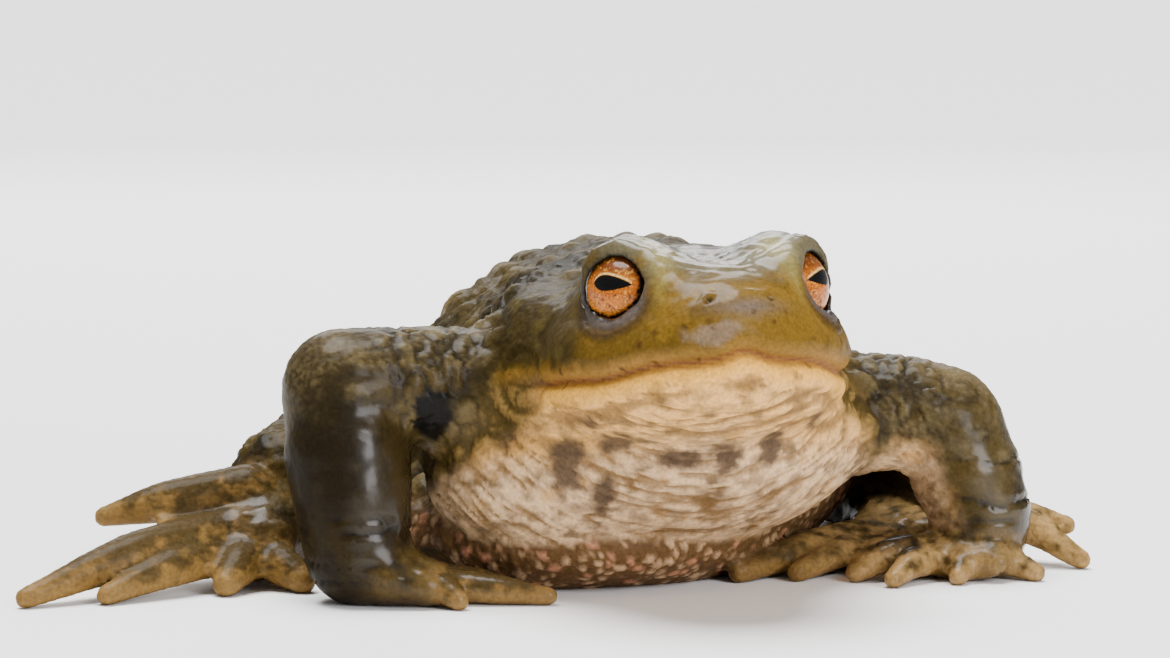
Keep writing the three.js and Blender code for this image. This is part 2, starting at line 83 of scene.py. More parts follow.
class Tint(enum.Enum):
    """The animal's colours, and the painted shade, sheen and highlight laid on them, as sRGB hex
    codes.
    """

    BACK_OLIVE = "#3b3015"
    BACK_BLOTCH = "#1d1709"
    BACK_OCHRE = "#5f4f29"
    WART_TOP = "#5c4f33"
    # painted shade for the hollows of the back
    BACK_CREVICE = "#1b1409"
    FACE_OCHRE = "#654b13"
    FACE_BLOTCH = "#2f240a"
    # grey of brows and crown: partly the skin's own, partly painted sheen
    BROW_GREY = "#57503a"
    FACE_WARM = "#644a12"
    CHEEK_OLIVE = "#33290f"
    TEMPLE_BROWN = "#1f180a"
    CHEEK_FLECK = "#4a3f1a"
    LIP_TAN = "#84602a"
    SNOUT_PATCH = "#75624e"
    # painted sheen for the muzzle
    MUZZLE_GREY = "#5c524c"
    JAW_CREAM = "#e0a23c"
    MOUTH_LINE = "#6e3c24"
    PORE_BROWN = "#3a2410"
    LID_YELLOW = "#8a7d42"
    LID_GREY = "#453f3d"
    LID_FOLD = "#2a201b"
    LID_EDGE = "#14110c"
    # painted shade inside the nostrils
    NOSTRIL = "#0b0805"
    THROAT_CREAM = "#d5a360"
    THROAT_TAN = "#ad8650"
    CHEST_CREAM = "#d2ae84"
    CHEST_TAN = "#a08362"
    THROAT_OCHRE = "#b98535"
    # painted shade for the folds of the throat
    WRINKLE = "#6a4d33"
    SMALL_SPOT = "#57452f"
    STREAK = "#5c4a3a"
    LARGE_SPOT = "#4a3a2c"
    # painted shade for the grooves of throat and chest
    GROOVE = "#74552f"
    LIMB_OLIVE = "#3a2e10"
    LIMB_BLOTCH = "#171104"
    LIMB_OCHRE = "#57482a"
    UPPER_ARM = "#443820"
    FOREARM_BROWN = "#1a1306"
    COBBLE_TOP = "#665839"
    # painted sheen for the top of the left arm
    ARM_CREST = "#6a5c42"
    ARM_SPOT = "#0a0806"
    DIGIT_TAN = "#775a2d"
    DIGIT_TOP = "#3f3117"
    DIGIT_TIP = "#7d6034"
    PALE_DIGIT = "#9a7a4a"
    THUMB_PAD = "#120c06"
    # painted shade for the hollows of limbs and digits
    LIMB_CREVICE = "#0f0b05"
    BELLY_BROWN = "#5f4529"
    GRANULE_TOP = "#bd9a74"
    GRANULE_RED = "#a9654b"
    NECK_OLIVE = "#54431f"
    NECK_OCHRE = "#8d6f3c"
    IRIS_COPPER = "#a8580f"
    IRIS_ORANGE = "#cb7720"
    IRIS_SHADE = "#5e300a"
    IRIS_GOLD = "#d99a3c"
    IRIS_VEIN = "#5a2408"
    EYE_RIM = "#0d0a08"
    # painted highlight on the pupil's upper edge
    PUPIL_RIM = "#f0cf7a"
    PUPIL = "#040303"
    EYE_BACK = "#15110d"


# Small mathematics


def unit(v: Array) -> Array:
    """Each row of v scaled to length one."""
    return v / np.maximum(np.linalg.norm(v, axis=-1, keepdims=True), 1e-9)


def smooth_min(a: Array, b: Array, width: Array | float) -> Array:
    """The smaller of two distances, with a fillet of the given width where they are alike."""
    near = np.maximum(width - np.abs(a - b), 0) / width
    return np.minimum(a, b) - near * near * width / 4


def rise(x: Array, low: float, high: float) -> Array:
    """A smooth step from 0 at low to 1 at high (low may be the larger)."""
    t = np.clip((x - low) / (high - low), 0, 1)
    return t * t * (3 - 2 * t)


def bell(x: Array, centre: float, width: float) -> Array:
    """A bell curve: 1 at the centre, falling to 1/e at a width from it."""
    return np.exp(-(((x - centre) / width) ** 2))


def ridges(x: Array, *shapes: tuple[float, float, float]) -> Array:
    """The sum of ridges across x, each a bell of a height (below 0: a groove), centre and width."""
    return sum(height * bell(x, centre, width) for height, centre, width in shapes)


def turn_up(degrees: float) -> Array:
    """The matrix of a turn about the upright axis."""
    c, s = math.cos(math.radians(degrees)), math.sin(math.radians(degrees))
    return np.array([[c, -s, 0], [s, c, 0], [0, 0, 1]])


def turn_across(degrees: float) -> Array:
    """The matrix of a turn about the X axis."""
    c, s = math.cos(math.radians(degrees)), math.sin(math.radians(degrees))
    return np.array([[1, 0, 0], [0, c, -s], [0, s, c]])


def linear(code: str) -> Array:
    """An sRGB hex colour as linear red, green and blue."""
    c = np.array([int(code[i : i + 2], 16) for i in (1, 3, 5)]) / 255
    return np.where(c <= 0.04045, c / 12.92, ((c + 0.055) / 1.055) ** 2.4)


@dataclass(frozen=True)
class Noise:
    """Seeded random patterns in space, the same on every run.

    Attributes:
        seed: which of the endless patterns this one is.
    """

    seed: int

    def _draw(self, cells: Array, channel: int) -> Array:
        """A number from 0 to 1 for each lattice cell, from a mix of its three whole numbers.

        Args:
            cells: a row of three whole numbers for each cell.
            channel: which of a cell's draws.

        Returns:
            The draws.
        """
        h = cells[..., 0] * 73856093 ^ cells[..., 1] * 19349663 ^ cells[..., 2] * 83492791
        h = (h ^ (self.seed * 668265263 + channel * 374761393)) & 0xFFFFFFFF
        for _ in range(2):
            h = ((h ^ (h >> 15)) * 2246822519) & 0xFFFFFFFF
            h = ((h ^ (h >> 13)) * 3266489917) & 0xFFFFFFFF
        return ((h ^ (h >> 16)) & 0xFFFFFF) / 0xFFFFFF

    def value(self, p: Array) -> Array:
        """Smooth noise from -1 to 1: lattice draws, eased between the eight corners of a cell.

        Args:
            p: places, in units of the pattern's size.

        Returns:
            The noise at each place.
        """
        base = np.floor(p).astype(np.int64)
        t = p - base
        t = t * t * (3 - 2 * t)
        total = np.zeros(len(p))
        for corner in np.ndindex(2, 2, 2):
            share = np.prod(np.where(np.array(corner), t, 1 - t), axis=1)
            total += share * self._draw(base + np.array(corner), 0)
        return 2 * total - 1

    def fractal(self, p: Array, octaves: int = 3) -> Array:
        """Noise with finer noise on it: each octave is half the size and half the height.

        Args:
            p: places, in units of the coarsest pattern's size.
            octaves: how many patterns are added.

        Returns:
            The noise at each place, from -1 to 1.
        """
        total, height = np.zeros(len(p)), 0.0
        for i in range(octaves):
            total += self.value(p * 2.03**i + 17.3 * i) * 0.5**i
            height += 0.5**i
        return total / height

    def cells(self, p: Array) -> tuple[Array, Array, Array]:
        """Distances to the nearest and next nearest of scattered points, and a draw of the nearest.

        Args:
            p: places, in units of the cells' size.

        Returns:
            The nearest distance, how much farther the next is, and a number from 0 to 1.
        """
        base = np.floor(p).astype(np.int64)
        first, second = np.full(len(p), 9.0), np.full(len(p), 9.0)
        name = np.zeros(len(p))
        for offset in np.ndindex(3, 3, 3):
            cell = base + np.array(offset) - 1
            point = cell + np.stack([self._draw(cell, c) for c in (1, 2, 3)], axis=1)
            reach = np.linalg.norm(point - p, axis=1)
            closer = reach < first
            second = np.where(closer, first, np.minimum(second, reach))
            name = np.where(closer, self._draw(cell, 4), name)
            first = np.where(closer, reach, first)
        return first, second - first, name


# Sizes of the animal, shared by its parts


@dataclass(frozen=True)
class Build:
    """The driving sizes of the animal and how its head is carried, in millimetres and degrees."""

    snout_to_vent: float = 75.0
    head_place: tuple[float, float, float] = (0.4, -21.3, 20.4)
    head_turn: float = 7.0
    head_lift: float = 11.5
    eye_spread: float = 7.4
    eye_forward: float = 10.2
    eye_height: float = 7.0
    eye_aim: float = 42.0

    @property
    def mouth_half_width(self) -> float:
        """Half the width of the mouth."""
        return 0.187 * self.snout_to_vent

    @property
    def head_length(self) -> float:
        """From the corners of the mouth to the tip of the snout."""
        return 0.267 * self.snout_to_vent

    @property
    def eye_radius(self) -> float:
        """The radius of an eyeball."""
        return 0.053 * self.snout_to_vent

    @property
    def back_height(self) -> float:
        """The height of the back above the floor."""
        return 0.415 * self.snout_to_vent

    @property
    def head_axes(self) -> Array:
        """The head's axes as a matrix: across, rearward and up."""
        return turn_up(self.head_turn) @ turn_across(-self.head_lift)

    def on_head(self, across: float, forward: float, up: float) -> Array:
        """A place given on the head, in the toad's own axes."""
        return np.array(self.head_place) + self.head_axes @ np.array([across, -forward, up])

    def head_view(self, p: Array) -> tuple[Array, Array, Array]:
        """Places in the toad's axes as across, forward and up on the head."""
        q = (p - np.array(self.head_place)) @ self.head_axes
        return q[:, 0], -q[:, 1], q[:, 2]

    def eye_centre(self, side: int) -> Array:
        """The centre of an eyeball, for side 1 (left) or -1 (right)."""
        return self.on_head(side * self.eye_spread, self.eye_forward, self.eye_height)

    def round_eye(self, p: Array, side: int) -> tuple[Array, Array, Array]:
        """Places as seen from an eye.

        Args:
            p: places, a row of x, y and z for each.
            side: 1 for the left eye, -1 for the right.

        Returns:
            Distances ahead of its centre, out from its axis, and above its centre.
        """
        offset, axis = p - self.eye_centre(side), self.eye_axis(side)
        ahead = offset @ axis
        return ahead, np.linalg.norm(offset - ahead[:, None] * axis, axis=1), offset[:, 2]

    def eye_axis(self, side: int) -> Array:
        """The direction that an eye looks in."""
        aim = math.radians(self.eye_aim)
        ahead = self.head_axes @ np.array([side * math.sin(aim), -math.cos(aim), 0.05])
        return unit(ahead)


BUILD = Build()


# Flesh


@dataclass(frozen=True)
class Mass:
    """A rounded mass of flesh: an ellipsoid, turned about the upright axis of what carries it."""

    centre: tuple[float, float, float]
    radii: tuple[float, float, float]
    turn: float = 0.0

    def distance(self, p: Array) -> Array:
        """Signed distance from the ellipsoid: reach (reach - 1) over the slope of its reach.

        Args:
            p: places, a row of x, y and z for each.

        Returns:
            A signed distance for each place, below 0 inside.
        """
        q = (p - np.array(self.centre)) @ turn_up(self.turn) / np.array(self.radii)
        reach = np.linalg.norm(q, axis=1)
        slope = np.linalg.norm(q / np.array(self.radii), axis=1)
        return reach * (reach - 1) / np.maximum(slope, 1e-6)


def blend(masses: list[Mass], p: Array, width: float) -> Array:
    """Distance from several masses that run into one another with one width of fillet.

    Args:
        masses: what is joined.
        p: places, a row of x, y and z for each.
        width: the width of the fillet.

    Returns:
        A signed distance for each place, below 0 inside.
    """
    total = masses[0].distance(p)
    for mass in masses[1:]:
        total = smooth_min(total, mass.distance(p), width)
    return total


@dataclass
class Limb:
    """A limb, digit or web: oval sections carried along a smooth path, with round ends.

    Attributes:
        name: the CAD node that it stands for.
        region: what kind of skin covers it.
        stations: rows of x, y, z, half width and half height.
        fillet: the width of the fillet to what it grows from.
        sides: for a web, the line from toe to toe at each station.
    """

    name: str
    region: Region
    stations: list[tuple[float, ...]]
    fillet: float
    sides: Array | None = None
    path: Array = field(init=False)
    wide: Array = field(init=False)
    high: Array = field(init=False)
    side: Array = field(init=False)
    up: Array = field(init=False)
    STEPS = 7
    MARGIN = 4.0

    def __post_init__(self) -> None:
        """Works out the path, a Catmull-Rom curve through the stations, and its sections."""
        rows = np.array([(*s[:4], s[4] if len(s) > 4 else s[3]) for s in self.stations])
        spans = len(rows) - 1
        t = np.linspace(0, spans, spans * self.STEPS + 1)
        i = np.minimum(t.astype(int), spans - 1)
        u = (t - i)[:, None]
        places = rows[:, :3]
        padded = np.vstack([2 * places[0] - places[1], places, 2 * places[-1] - places[-2]])
        a, b, c, d = (padded[i + k] for k in range(4))
        self.path = 0.5 * (
            2 * b + (c - a) * u + (2 * a - 5 * b + 4 * c - d) * u**2
            + (3 * b - a - 3 * c + d) * u**3
        )
        self.wide = np.interp(t, range(len(rows)), rows[:, 3])
        self.high = np.interp(t, range(len(rows)), rows[:, 4])
        along = unit(np.gradient(self.path, axis=0))
        if self.sides is None:
            upright = np.where(np.abs(along[:, 2:]) > 0.8, (0, -1, 0), (0, 0, 1))
            self.side = unit(np.cross(along, upright))
        else:
            across = np.stack([np.interp(t, range(len(rows)), s) for s in self.sides.T], 1)
            across -= (across * along).sum(1)[:, None] * along
            self.wide = np.maximum(np.linalg.norm(across, axis=1) / 2, 0.5)
            self.side = unit(across)
        self.up = unit(np.cross(self.side, along))

    def reaches(self, p: Array) -> Array:
        """Which places are near enough for this limb to matter.

        Args:
            p: places, a row of x, y and z for each.

        Returns:
            The numbers of those places.
        """
        spread = np.maximum(self.wide, self.high)[:, None] + self.MARGIN
        low, high = (self.path - spread).min(0), (self.path + spread).max(0)
        return np.flatnonzero(np.all((p > low) & (p < high), axis=1))

    def distance(self, p: Array) -> tuple[Array, Array]:
        """Signed distance from the limb, and how far along it the nearest section is, from 0 to 1.

        The nearest point on each straight piece of the path gives an offset, which is measured
        against the section's half width and half height as an ellipsoid's reach is.

        Args:
            p: places, a row of x, y and z for each.

        Returns:
            The distances, and the shares of the limb's length.
        """
        best, place = np.full(len(p), 99.0), np.zeros(len(p))
        last = len(self.path) - 1
        for i in range(last):
            step = self.path[i + 1] - self.path[i]
            t = np.clip((p - self.path[i]) @ step / (step @ step), 0, 1)
            offset = p - self.path[i] - t[:, None] * step
            wide = self.wide[i] + t * (self.wide[i + 1] - self.wide[i])
            high = self.high[i] + t * (self.high[i + 1] - self.high[i])
            depth = np.minimum(wide, high)
            s, u = offset @ self.side[i] / wide, offset @ self.up[i] / high
            a = offset @ (step / np.linalg.norm(step)) / depth
            reach = np.sqrt(s * s + u * u + a * a)
            slope = np.sqrt((s / wide) ** 2 + (u / high) ** 2 + (a / depth) ** 2)
            d = np.where(reach > 1e-4, reach * (reach - 1) / np.maximum(slope, 1e-6), -depth)
            closer = d < best
            best, place = np.where(closer, d, best), np.where(closer, (i + t) / last, place)
        return best, place


def web(near: Limb, far: Limb, reach: float) -> Limb:
    """The web between two toes: a thin sheet as wide as they are apart.

    Args:
        near: one toe.
        far: the other toe.
        reach: the share of the toes' length that it covers.

    Returns:
        The web, as a limb between the toes.
    """
    rows, sides = [], []
    for share in np.linspace(0.06, reach, 4):
        ends = []
        for toe in (near, far):
            t = share * (len(toe.path) - 1)
            ends.append([np.interp(t, range(len(toe.path)), toe.path[:, k]) for k in range(3)])
        a, b = np.array(ends)
        rows.append((*(a + b) / 2, max(np.linalg.norm(b - a) / 2, 0.5), 0.45))
        sides.append(b - a)
    return Limb(f"{near.name}_web", Region.WEB, rows, 1.0, np.array(sides))


@dataclass
class Body:
    """The whole toad as one field of distance.

    Attributes:
        rear: masses of the trunk behind the chest, low and high.
        front: masses of the chest, shoulders and neck.
        skull: masses of the head, in its own axes: across, rearward and up.
        limbs: all limbs, digits and webs, from root to tip.
    """

    build: Build = BUILD
    rear: list[Mass] = field(default_factory=list)
    front: list[Mass] = field(default_factory=list)
    skull: list[Mass] = field(default_factory=list)
    limbs: list[Limb] = field(default_factory=list)
    TRUNK_FILLET = 5.0
    HEAD_FILLET = 3.0
    NECK_FILLET = 2.2
    SOCKET_GAP = 0.12
    LID_RADIUS = 3.3
    LID_RAISED = 0.42
    LID_THICKNESS = 0.42
    LID_AHEAD = 2.45
    BLOCK = 30000
    SHORT_STEP = 0.05

    def __post_init__(self) -> None:
        """Places the masses of trunk and head, then the limbs, digits and webs."""
        b = self.build
        back, mouth, length = b.back_height, b.mouth_half_width, b.head_length
        self.rear = [
            Mass((0.3, 7, 13.4), (22.2, 26, back - 13.4)),
            Mass((-0.4, 10, 7.8), (23.5, 18, 8)),
            Mass((1, 26, 14.5), (11, 8.5, 9)),
            Mass((-6, -3, 4.2), (17, 18.5, 5.6)),
            Mass((-14, -5, 4), (11, 11, 5.5)),
        ]
        self.front = [
            Mass((0.3, -11, 14.5), (20, 15.5, 11.3)),
            Mass((0.4, -7, 20), (14, 14, back - 20.7)),
            Mass((0.8, -21, 15.3), (11.5, 9, 6)),
            Mass((-12, -14, 10.5), (10.3, 8.5, 7)),
            Mass((-10.8, -11.5, 25.8), (3.6, 8, 3.2), -12),
            Mass((11, -10, 26), (3.4, 8, 3.2), 14),
            Mass((-12.1, -20, 20.6), (3.5, 5.5, 6)),
            Mass((11.4, -19, 20.6), (3.5, 5.5, 6)),
        ]
        spread, forward = b.eye_spread, b.eye_forward
        self.skull = [
            Mass((0, -4.5, 2), (mouth, length - 4.5, 6.2)),
            Mass((0, 0, 4.4), (12.6, 12, 5.3)),
            Mass((0, -6, 4.6), (8.6, 11.5, 5)),
            Mass((0, 0.5, 8.2), (8.5, 9, 4)),
            Mass((0, -12.5, 3.4), (7.2, 7.2, 4)),
            Mass((0, -3, -2), (mouth - 0.5, length - 3.6, 5)),
            Mass((spread - 0.5, 1.4 - forward, 7.6), (3.9, 4.7, 4.7)),
            Mass((0.5 - spread, 1.4 - forward, 7.6), (3.9, 4.7, 4.7)),
            Mass((4.3, -forward - 1, 6.9), (2.3, 4.8, 2.7), 22),
            Mass((-4.3, -forward - 1, 6.9), (2.3, 4.8, 2.7), -22),
        ]
        self.limbs = [
            Limb(name, region, stations, fillet)
            for region, fillet, table in STATIONS
            for name, stations in table.items()
        ]
        named = {limb.name: limb for limb in self.limbs}
        self.limbs += [web(named[near], named[far], reach) for near, far, reach in WEBS]

    def head_distance(self, p: Array) -> Array:
        """Distance from the head: its masses, with a ring of lid round each eye.

        Args:
            p: places, a row of x, y and z for each.

        Returns:
            A signed distance for each place, below 0 inside.
        """
        q = (p - np.array(self.build.head_place)) @ self.build.head_axes
        d = blend(self.skull, q, self.HEAD_FILLET)
        for side in (1, -1):
            offset = p - self.build.eye_centre(side)
            offset[:, 2] -= self.LID_RAISED
            ahead = offset @ self.build.eye_axis(side)
            out = np.sqrt(np.maximum((offset**2).sum(1) - ahead**2, 0))
            opening = np.maximum(out - self.LID_RADIUS, 0.9 - ahead)
            d = -smooth_min(-d, opening + 0.15, 0.5)
            ring = np.hypot(out - self.LID_RADIUS, ahead - self.LID_AHEAD) - self.LID_THICKNESS
            d = smooth_min(d, ring, 0.6 + 1.8 * rise(offset[:, 2], 0.3, 2.6))
        return d

    def trunk_distance(self, p: Array) -> Array:
        """Distance from the trunk, whose chest hangs over its belly: their fillet is tight below.

        Args:
            p: places, a row of x, y and z for each.

        Returns:
            A signed distance for each place, below 0 inside.
        """
        width = 0.8 + (self.TRUNK_FILLET - 0.8) * rise(p[:, 2], 7, 15)
        return smooth_min(
            blend(self.rear, p, self.TRUNK_FILLET), blend(self.front, p, self.TRUNK_FILLET), width
        )

    def distance(self, p: Array) -> Array:
        """Signed distance from the toad, cut level at the floor and hollowed for the eyeballs.

        Args:
            p: places, a row of x, y and z for each.

        Returns:
            A signed distance for each place, below 0 inside.
        """
        d = smooth_min(self.trunk_distance(p), self.head_distance(p), self.NECK_FILLET)
        for limb in self.limbs:
            near = limb.reaches(p)
            d[near] = smooth_min(d[near], limb.distance(p[near])[0], limb.fillet)
        for side in (1, -1):
            ball = np.linalg.norm(p - self.build.eye_centre(side), axis=1)
            d = -smooth_min(-d, ball - self.build.eye_radius - self.SOCKET_GAP, 0.25)
        return np.maximum(d, -p[:, 2])

    def everywhere(self, p: Array) -> Array:
        """Distances at many places, in blocks that are worked out side by side.

        Args:
            p: places, a row of x, y and z for each.

        Returns:
            A signed distance for each place, below 0 inside.
        """
        parts = np.array_split(p, max(1, len(p) // self.BLOCK))
        with ThreadPoolExecutor() as pool:
            return np.concatenate(list(pool.map(self.distance, parts)))

    def slope(self, p: Array) -> Array:
        """The field's slope, from its change over a short step along each axis.

        Args:
            p: places, a row of x, y and z for each.

        Returns:
            The slope along x, y and z at each place.
        """
        step = self.SHORT_STEP * np.eye(3)
        ends = self.everywhere(np.concatenate([p + e for e in step] + [p - e for e in step]))
        ahead, behind = ends.reshape(2, 3, -1)
        return ((ahead - behind) / (2 * self.SHORT_STEP)).T


# Stations of limbs and digits, from root to tip: x, y, z, half width and half height.

STATIONS: list[tuple[Region, float, dict[str, list[tuple[float, ...]]]]] = [
    (Region.UPPER_ARM, 2.6, {
        "right_upper_arm": [(-11, -12, 18, 6.4), (-17.5, -14, 18.7, 6), (-24, -15.5, 19.5, 5.4),
                            (-30.4, -16.4, 19.4, 5.6)],
        "left_upper_arm": [(11, -8, 16, 6.4), (18.5, -9.8, 15.4, 5.9), (24, -11, 15.4, 5.5),
                           (28, -11.6, 14.4, 5.5)],
    }),
    (Region.FOREARM, 1.6, {
        "right_forearm": [(-30.4, -17.1, 17, 5), (-30.1, -18, 13.6, 5.9), (-29.8, -19, 9.6, 5.5),
                          (-29.4, -20, 4.6, 4.9)],
        "left_forearm": [(28.9, -12, 12.2, 5), (30, -12.5, 9.6, 5.4), (31.2, -13, 6.4, 4.9),
                         (31.2, -13.3, 4.2, 4.6, 3.8)],
    }),
    (Region.HAND, 1.6, {
        "right_hand": [(-28.4, -20.2, 3, 3.2, 2.6), (-26, -21, 2.6, 4.6, 2.8),
                       (-23, -21.8, 1.9, 4.2, 2)],
        "left_hand": [(30.8, -12.8, 2.9, 4.2, 2.9), (29.6, -14.6, 2.4, 5, 2.5),
                      (28.4, -16, 1.8, 5.2, 1.9)],
    }),
    (Region.THIGH, 1.4, {
        "right_thigh": [(-12, 19, 13, 8.5), (-23.5, 10, 11.2, 7.2), (-34.6, 0.2, 9, 4.9)],
        "left_thigh": [(13.5, 19, 13, 8.5), (22.5, 11, 11.6, 7.4), (30, 1.6, 9.4, 5)],
    }),
    (Region.SHANK, 0.9, {
        "right_shank": [(-34.8, 1.8, 8, 4.4), (-31.5, 10, 7.6, 5.3), (-26, 21, 5.6, 3.8)],
        "left_shank": [(30.6, 3, 8.4, 4.4), (29.5, 11, 7.6, 5.3), (25.5, 21, 5.6, 3.8)],
    }),
    (Region.TARSUS, 0.9, {
        "right_tarsus": [(-26, 21.5, 3.2, 3.4), (-29.5, 11, 2.9, 3.1), (-33.5, 1, 3.2, 3.2)],
        "left_tarsus": [(25.5, 21.5, 3.2, 3.4), (25.8, 11, 2.9, 3.1), (26, 2.5, 3, 3.2)],
    }),
    (Region.FOOT, 1.2, {
        "right_foot": [(-33.5, 1, 3.4, 3.4, 3.3), (-36.4, -4, 4.6, 4.6, 4.5),
                       (-38.8, -7.4, 4.2, 4.8, 3.4)],
        "left_foot": [(26, 2, 3, 3.4, 3), (25.6, -2.5, 2.6, 4.8, 2.7), (24.6, -5.5, 2.3, 5.4, 2.2)],
    }),
    (Region.FINGER, 0.9, {
        "right_finger_1": [(-25.4, -19.2, 3, 1.6), (-22.6, -18.2, 3, 1.6),
                           (-20.2, -17.7, 1.6, 1.1)],
        "right_finger_2": [(-23.6, -20.6, 2, 1.5), (-19, -19.8, 1.7, 1.3),
                           (-14.6, -19.9, 0.8, 0.85)],
        "right_finger_3": [(-23, -22.2, 1.9, 1.5), (-17, -23.4, 1.4, 1.35),
                           (-12.4, -24.4, 0.8, 0.85)],
        "right_finger_4": [(-23.6, -22.8, 1.8, 1.4), (-22, -24.4, 1.6, 1.3),
                           (-20.8, -25.8, 0.8, 0.9)],
        "left_finger_1": [(26.6, -13.8, 2.6, 1.6), (22, -15.4, 2.4, 1.6), (18.4, -16.3, 0.9, 1)],
        "left_finger_2": [(27, -15.4, 2, 1.5), (23.6, -17.6, 1.8, 1.4), (21.2, -20, 0.8, 0.9)],
        "left_finger_3": [(28.8, -15.8, 1.8, 1.5), (28.2, -17.8, 1.5, 1.4),
                          (27.6, -19.4, 0.8, 0.9)],
        "left_finger_4": [(31, -14.8, 1.9, 1.5), (33.4, -16.8, 1.6, 1.35), (35.4, -18.4, 0.8, 0.9)],
    }),
    (Region.TOE, 0.9, {
        "right_toe_1": [(-37, -8.6, 2.8, 2), (-35.8, -11.6, 2.2, 1.9), (-34, -14, 1.1, 1.25)],
        "right_toe_2": [(-38.4, -8.8, 2.9, 2.1), (-39.8, -12, 2.4, 2), (-41.2, -14.8, 1.1, 1.25)],
        "right_toe_3": [(-40, -8.8, 3.2, 2), (-46, -13.6, 2.6, 1.8), (-52.4, -18, 0.9, 0.95)],
        "right_toe_4": [(-40.2, -7.6, 4.8, 2.4), (-50, -13.4, 3.7, 2.15),
                        (-59.8, -18.6, 0.9, 0.95)],
        "right_toe_5": [(-38.6, -4.6, 8.2, 2.7), (-46, -6.2, 7.7, 2), (-52, -6, 6.4, 0.95)],
        "left_toe_1": [(22, -5, 2.6, 1.9), (15, -10.4, 2.4, 1.7), (7.4, -14.8, 0.9, 1)],
        "left_toe_2": [(22.6, -6.4, 2.3, 1.7), (18, -11, 2, 1.5), (13, -15, 0.9, 1)],
        "left_toe_3": [(24.6, -7, 2.2, 1.7), (22, -10.4, 1.8, 1.5), (19.6, -12.9, 0.9, 1)],
        "left_toe_4": [(27.4, -5.6, 2.6, 1.9), (36, -8.8, 4, 1.8), (41.6, -12, 0.9, 0.95)],
        "left_toe_5": [(27.6, -4, 3, 1.7), (35.4, -6.4, 4.8, 1.5), (41, -8.8, 3.8, 0.9)],
    }),
]

# Pairs of toes joined by a web, and the share of their length that it reaches to.
WEBS = [
    ("right_toe_2", "right_toe_1", 0.6),
    ("right_toe_3", "right_toe_2", 0.5),
    ("right_toe_4", "right_toe_3", 0.5),
    ("right_toe_5", "right_toe_4", 0.42),
    ("left_toe_2", "left_toe_1", 0.5),
    ("left_toe_3", "left_toe_2", 0.6),
    ("left_toe_5", "left_toe_4", 0.5),
]


# From field to surface


def corner_views(cells: tuple[int, ...]) -> list[tuple[slice, ...]]:
    """For each of a cell's eight corners, the slices that take it from a lattice for all cells."""
    return [tuple(slice(k, k + n) for k, n in zip(c, cells)) for c in np.ndindex(2, 2, 2)]


def grid_points(axes: tuple[Array, ...]) -> Array:
    """All points of a lattice, one to a row."""
    return np.stack(np.meshgrid(*axes, indexing="ij"), -1).reshape(-1, len(axes))


@dataclass(frozen=True)
class Lattice:
    """The points at which the field is read: finer over the face than over the rear.

    Attributes:
        coarseness: multiplies every spacing.
    """

    coarseness: float
    STRIDE = 4
    FULL = 1.05
    QUICK = 1.6

    def axis(self, marks: list[tuple[float, float]]) -> Array:
        """Places along one axis, whose spacing changes evenly from mark to mark.

        Args:
            marks: pairs of a place and the spacing there.

        Returns:
            The places.
        """
        places = [marks[0][0]]
        at, gaps = zip(*marks)
        while places[-1] < at[-1]:
            places.append(places[-1] + np.interp(places[-1], at, gaps) * self.coarseness)
        return np.array(places)

    def axes(self) -> tuple[Array, Array, Array]:
        """The three axes' places.

        Returns:
            Places along x, y and z.
        """
        x = self.axis([(-63, 0.6), (-36, 0.46), (-17, 0.36), (17, 0.36), (38, 0.46), (45, 0.55)])
        y = self.axis([(-44, 0.36), (-20, 0.38), (-8, 0.5), (5, 0.8), (37, 0.95)])
        z = self.axis([(-1.0, 0.42), (10, 0.4), (18, 0.34), (36.5, 0.34)])
        return x, y, z

    def read(self, body: Body) -> tuple[tuple[Array, Array, Array], Array]:
        """Reads the field on the lattice, fully only near the surface.

        Every fourth point is read first. A block between them is read in full where the surface may
        pass through it, and elsewhere keeps the distance at its corner, whose sign is all it needs.

        Args:
            body: the toad's field.

        Returns:
            The axes, and the distances on them.
        """
        axes = tuple(self.padded(axis) for axis in self.axes())
        sparse = tuple(axis[:: self.STRIDE] for axis in axes)
        corners = body.everywhere(grid_points(sparse)).reshape([len(axis) for axis in sparse])
        views = corner_views(tuple(n - 1 for n in corners.shape))
        nearest = np.min([np.abs(corners[view]) for view in views], axis=0)
        spans = np.meshgrid(*(np.diff(axis) for axis in sparse), indexing="ij")
        crossed = nearest < np.sqrt(sum(span**2 for span in spans))
        values = self.stretched(corners, axes)
        fine = np.zeros(values.shape, bool)
        for view in views:
            block = np.zeros(corners.shape, bool)
            block[view] = crossed
            fine |= self.stretched(block, axes)
        at = np.argwhere(fine)
        values[fine] = body.everywhere(np.stack([axes[k][at[:, k]] for k in range(3)], 1))
        return axes, values

    def stretched(self, blocks: Array, axes: tuple[Array, ...]) -> Array:
        """One value for each block, repeated at every lattice point in it.

        Args:
            blocks: the values.
            axes: the full lattice.

        Returns:
            The values on the full lattice.
        """
        for k in range(3):
            blocks = np.repeat(blocks, self.STRIDE, k)
        return blocks[tuple(slice(0, len(axis)) for axis in axes)]

    def padded(self, axis: Array) -> Array:
        """An axis with as many points as whole blocks need."""
        missing = (1 - len(axis)) % self.STRIDE
        return np.append(axis, axis[-1] + (axis[-1] - axis[-2]) * np.arange(1, missing + 1))


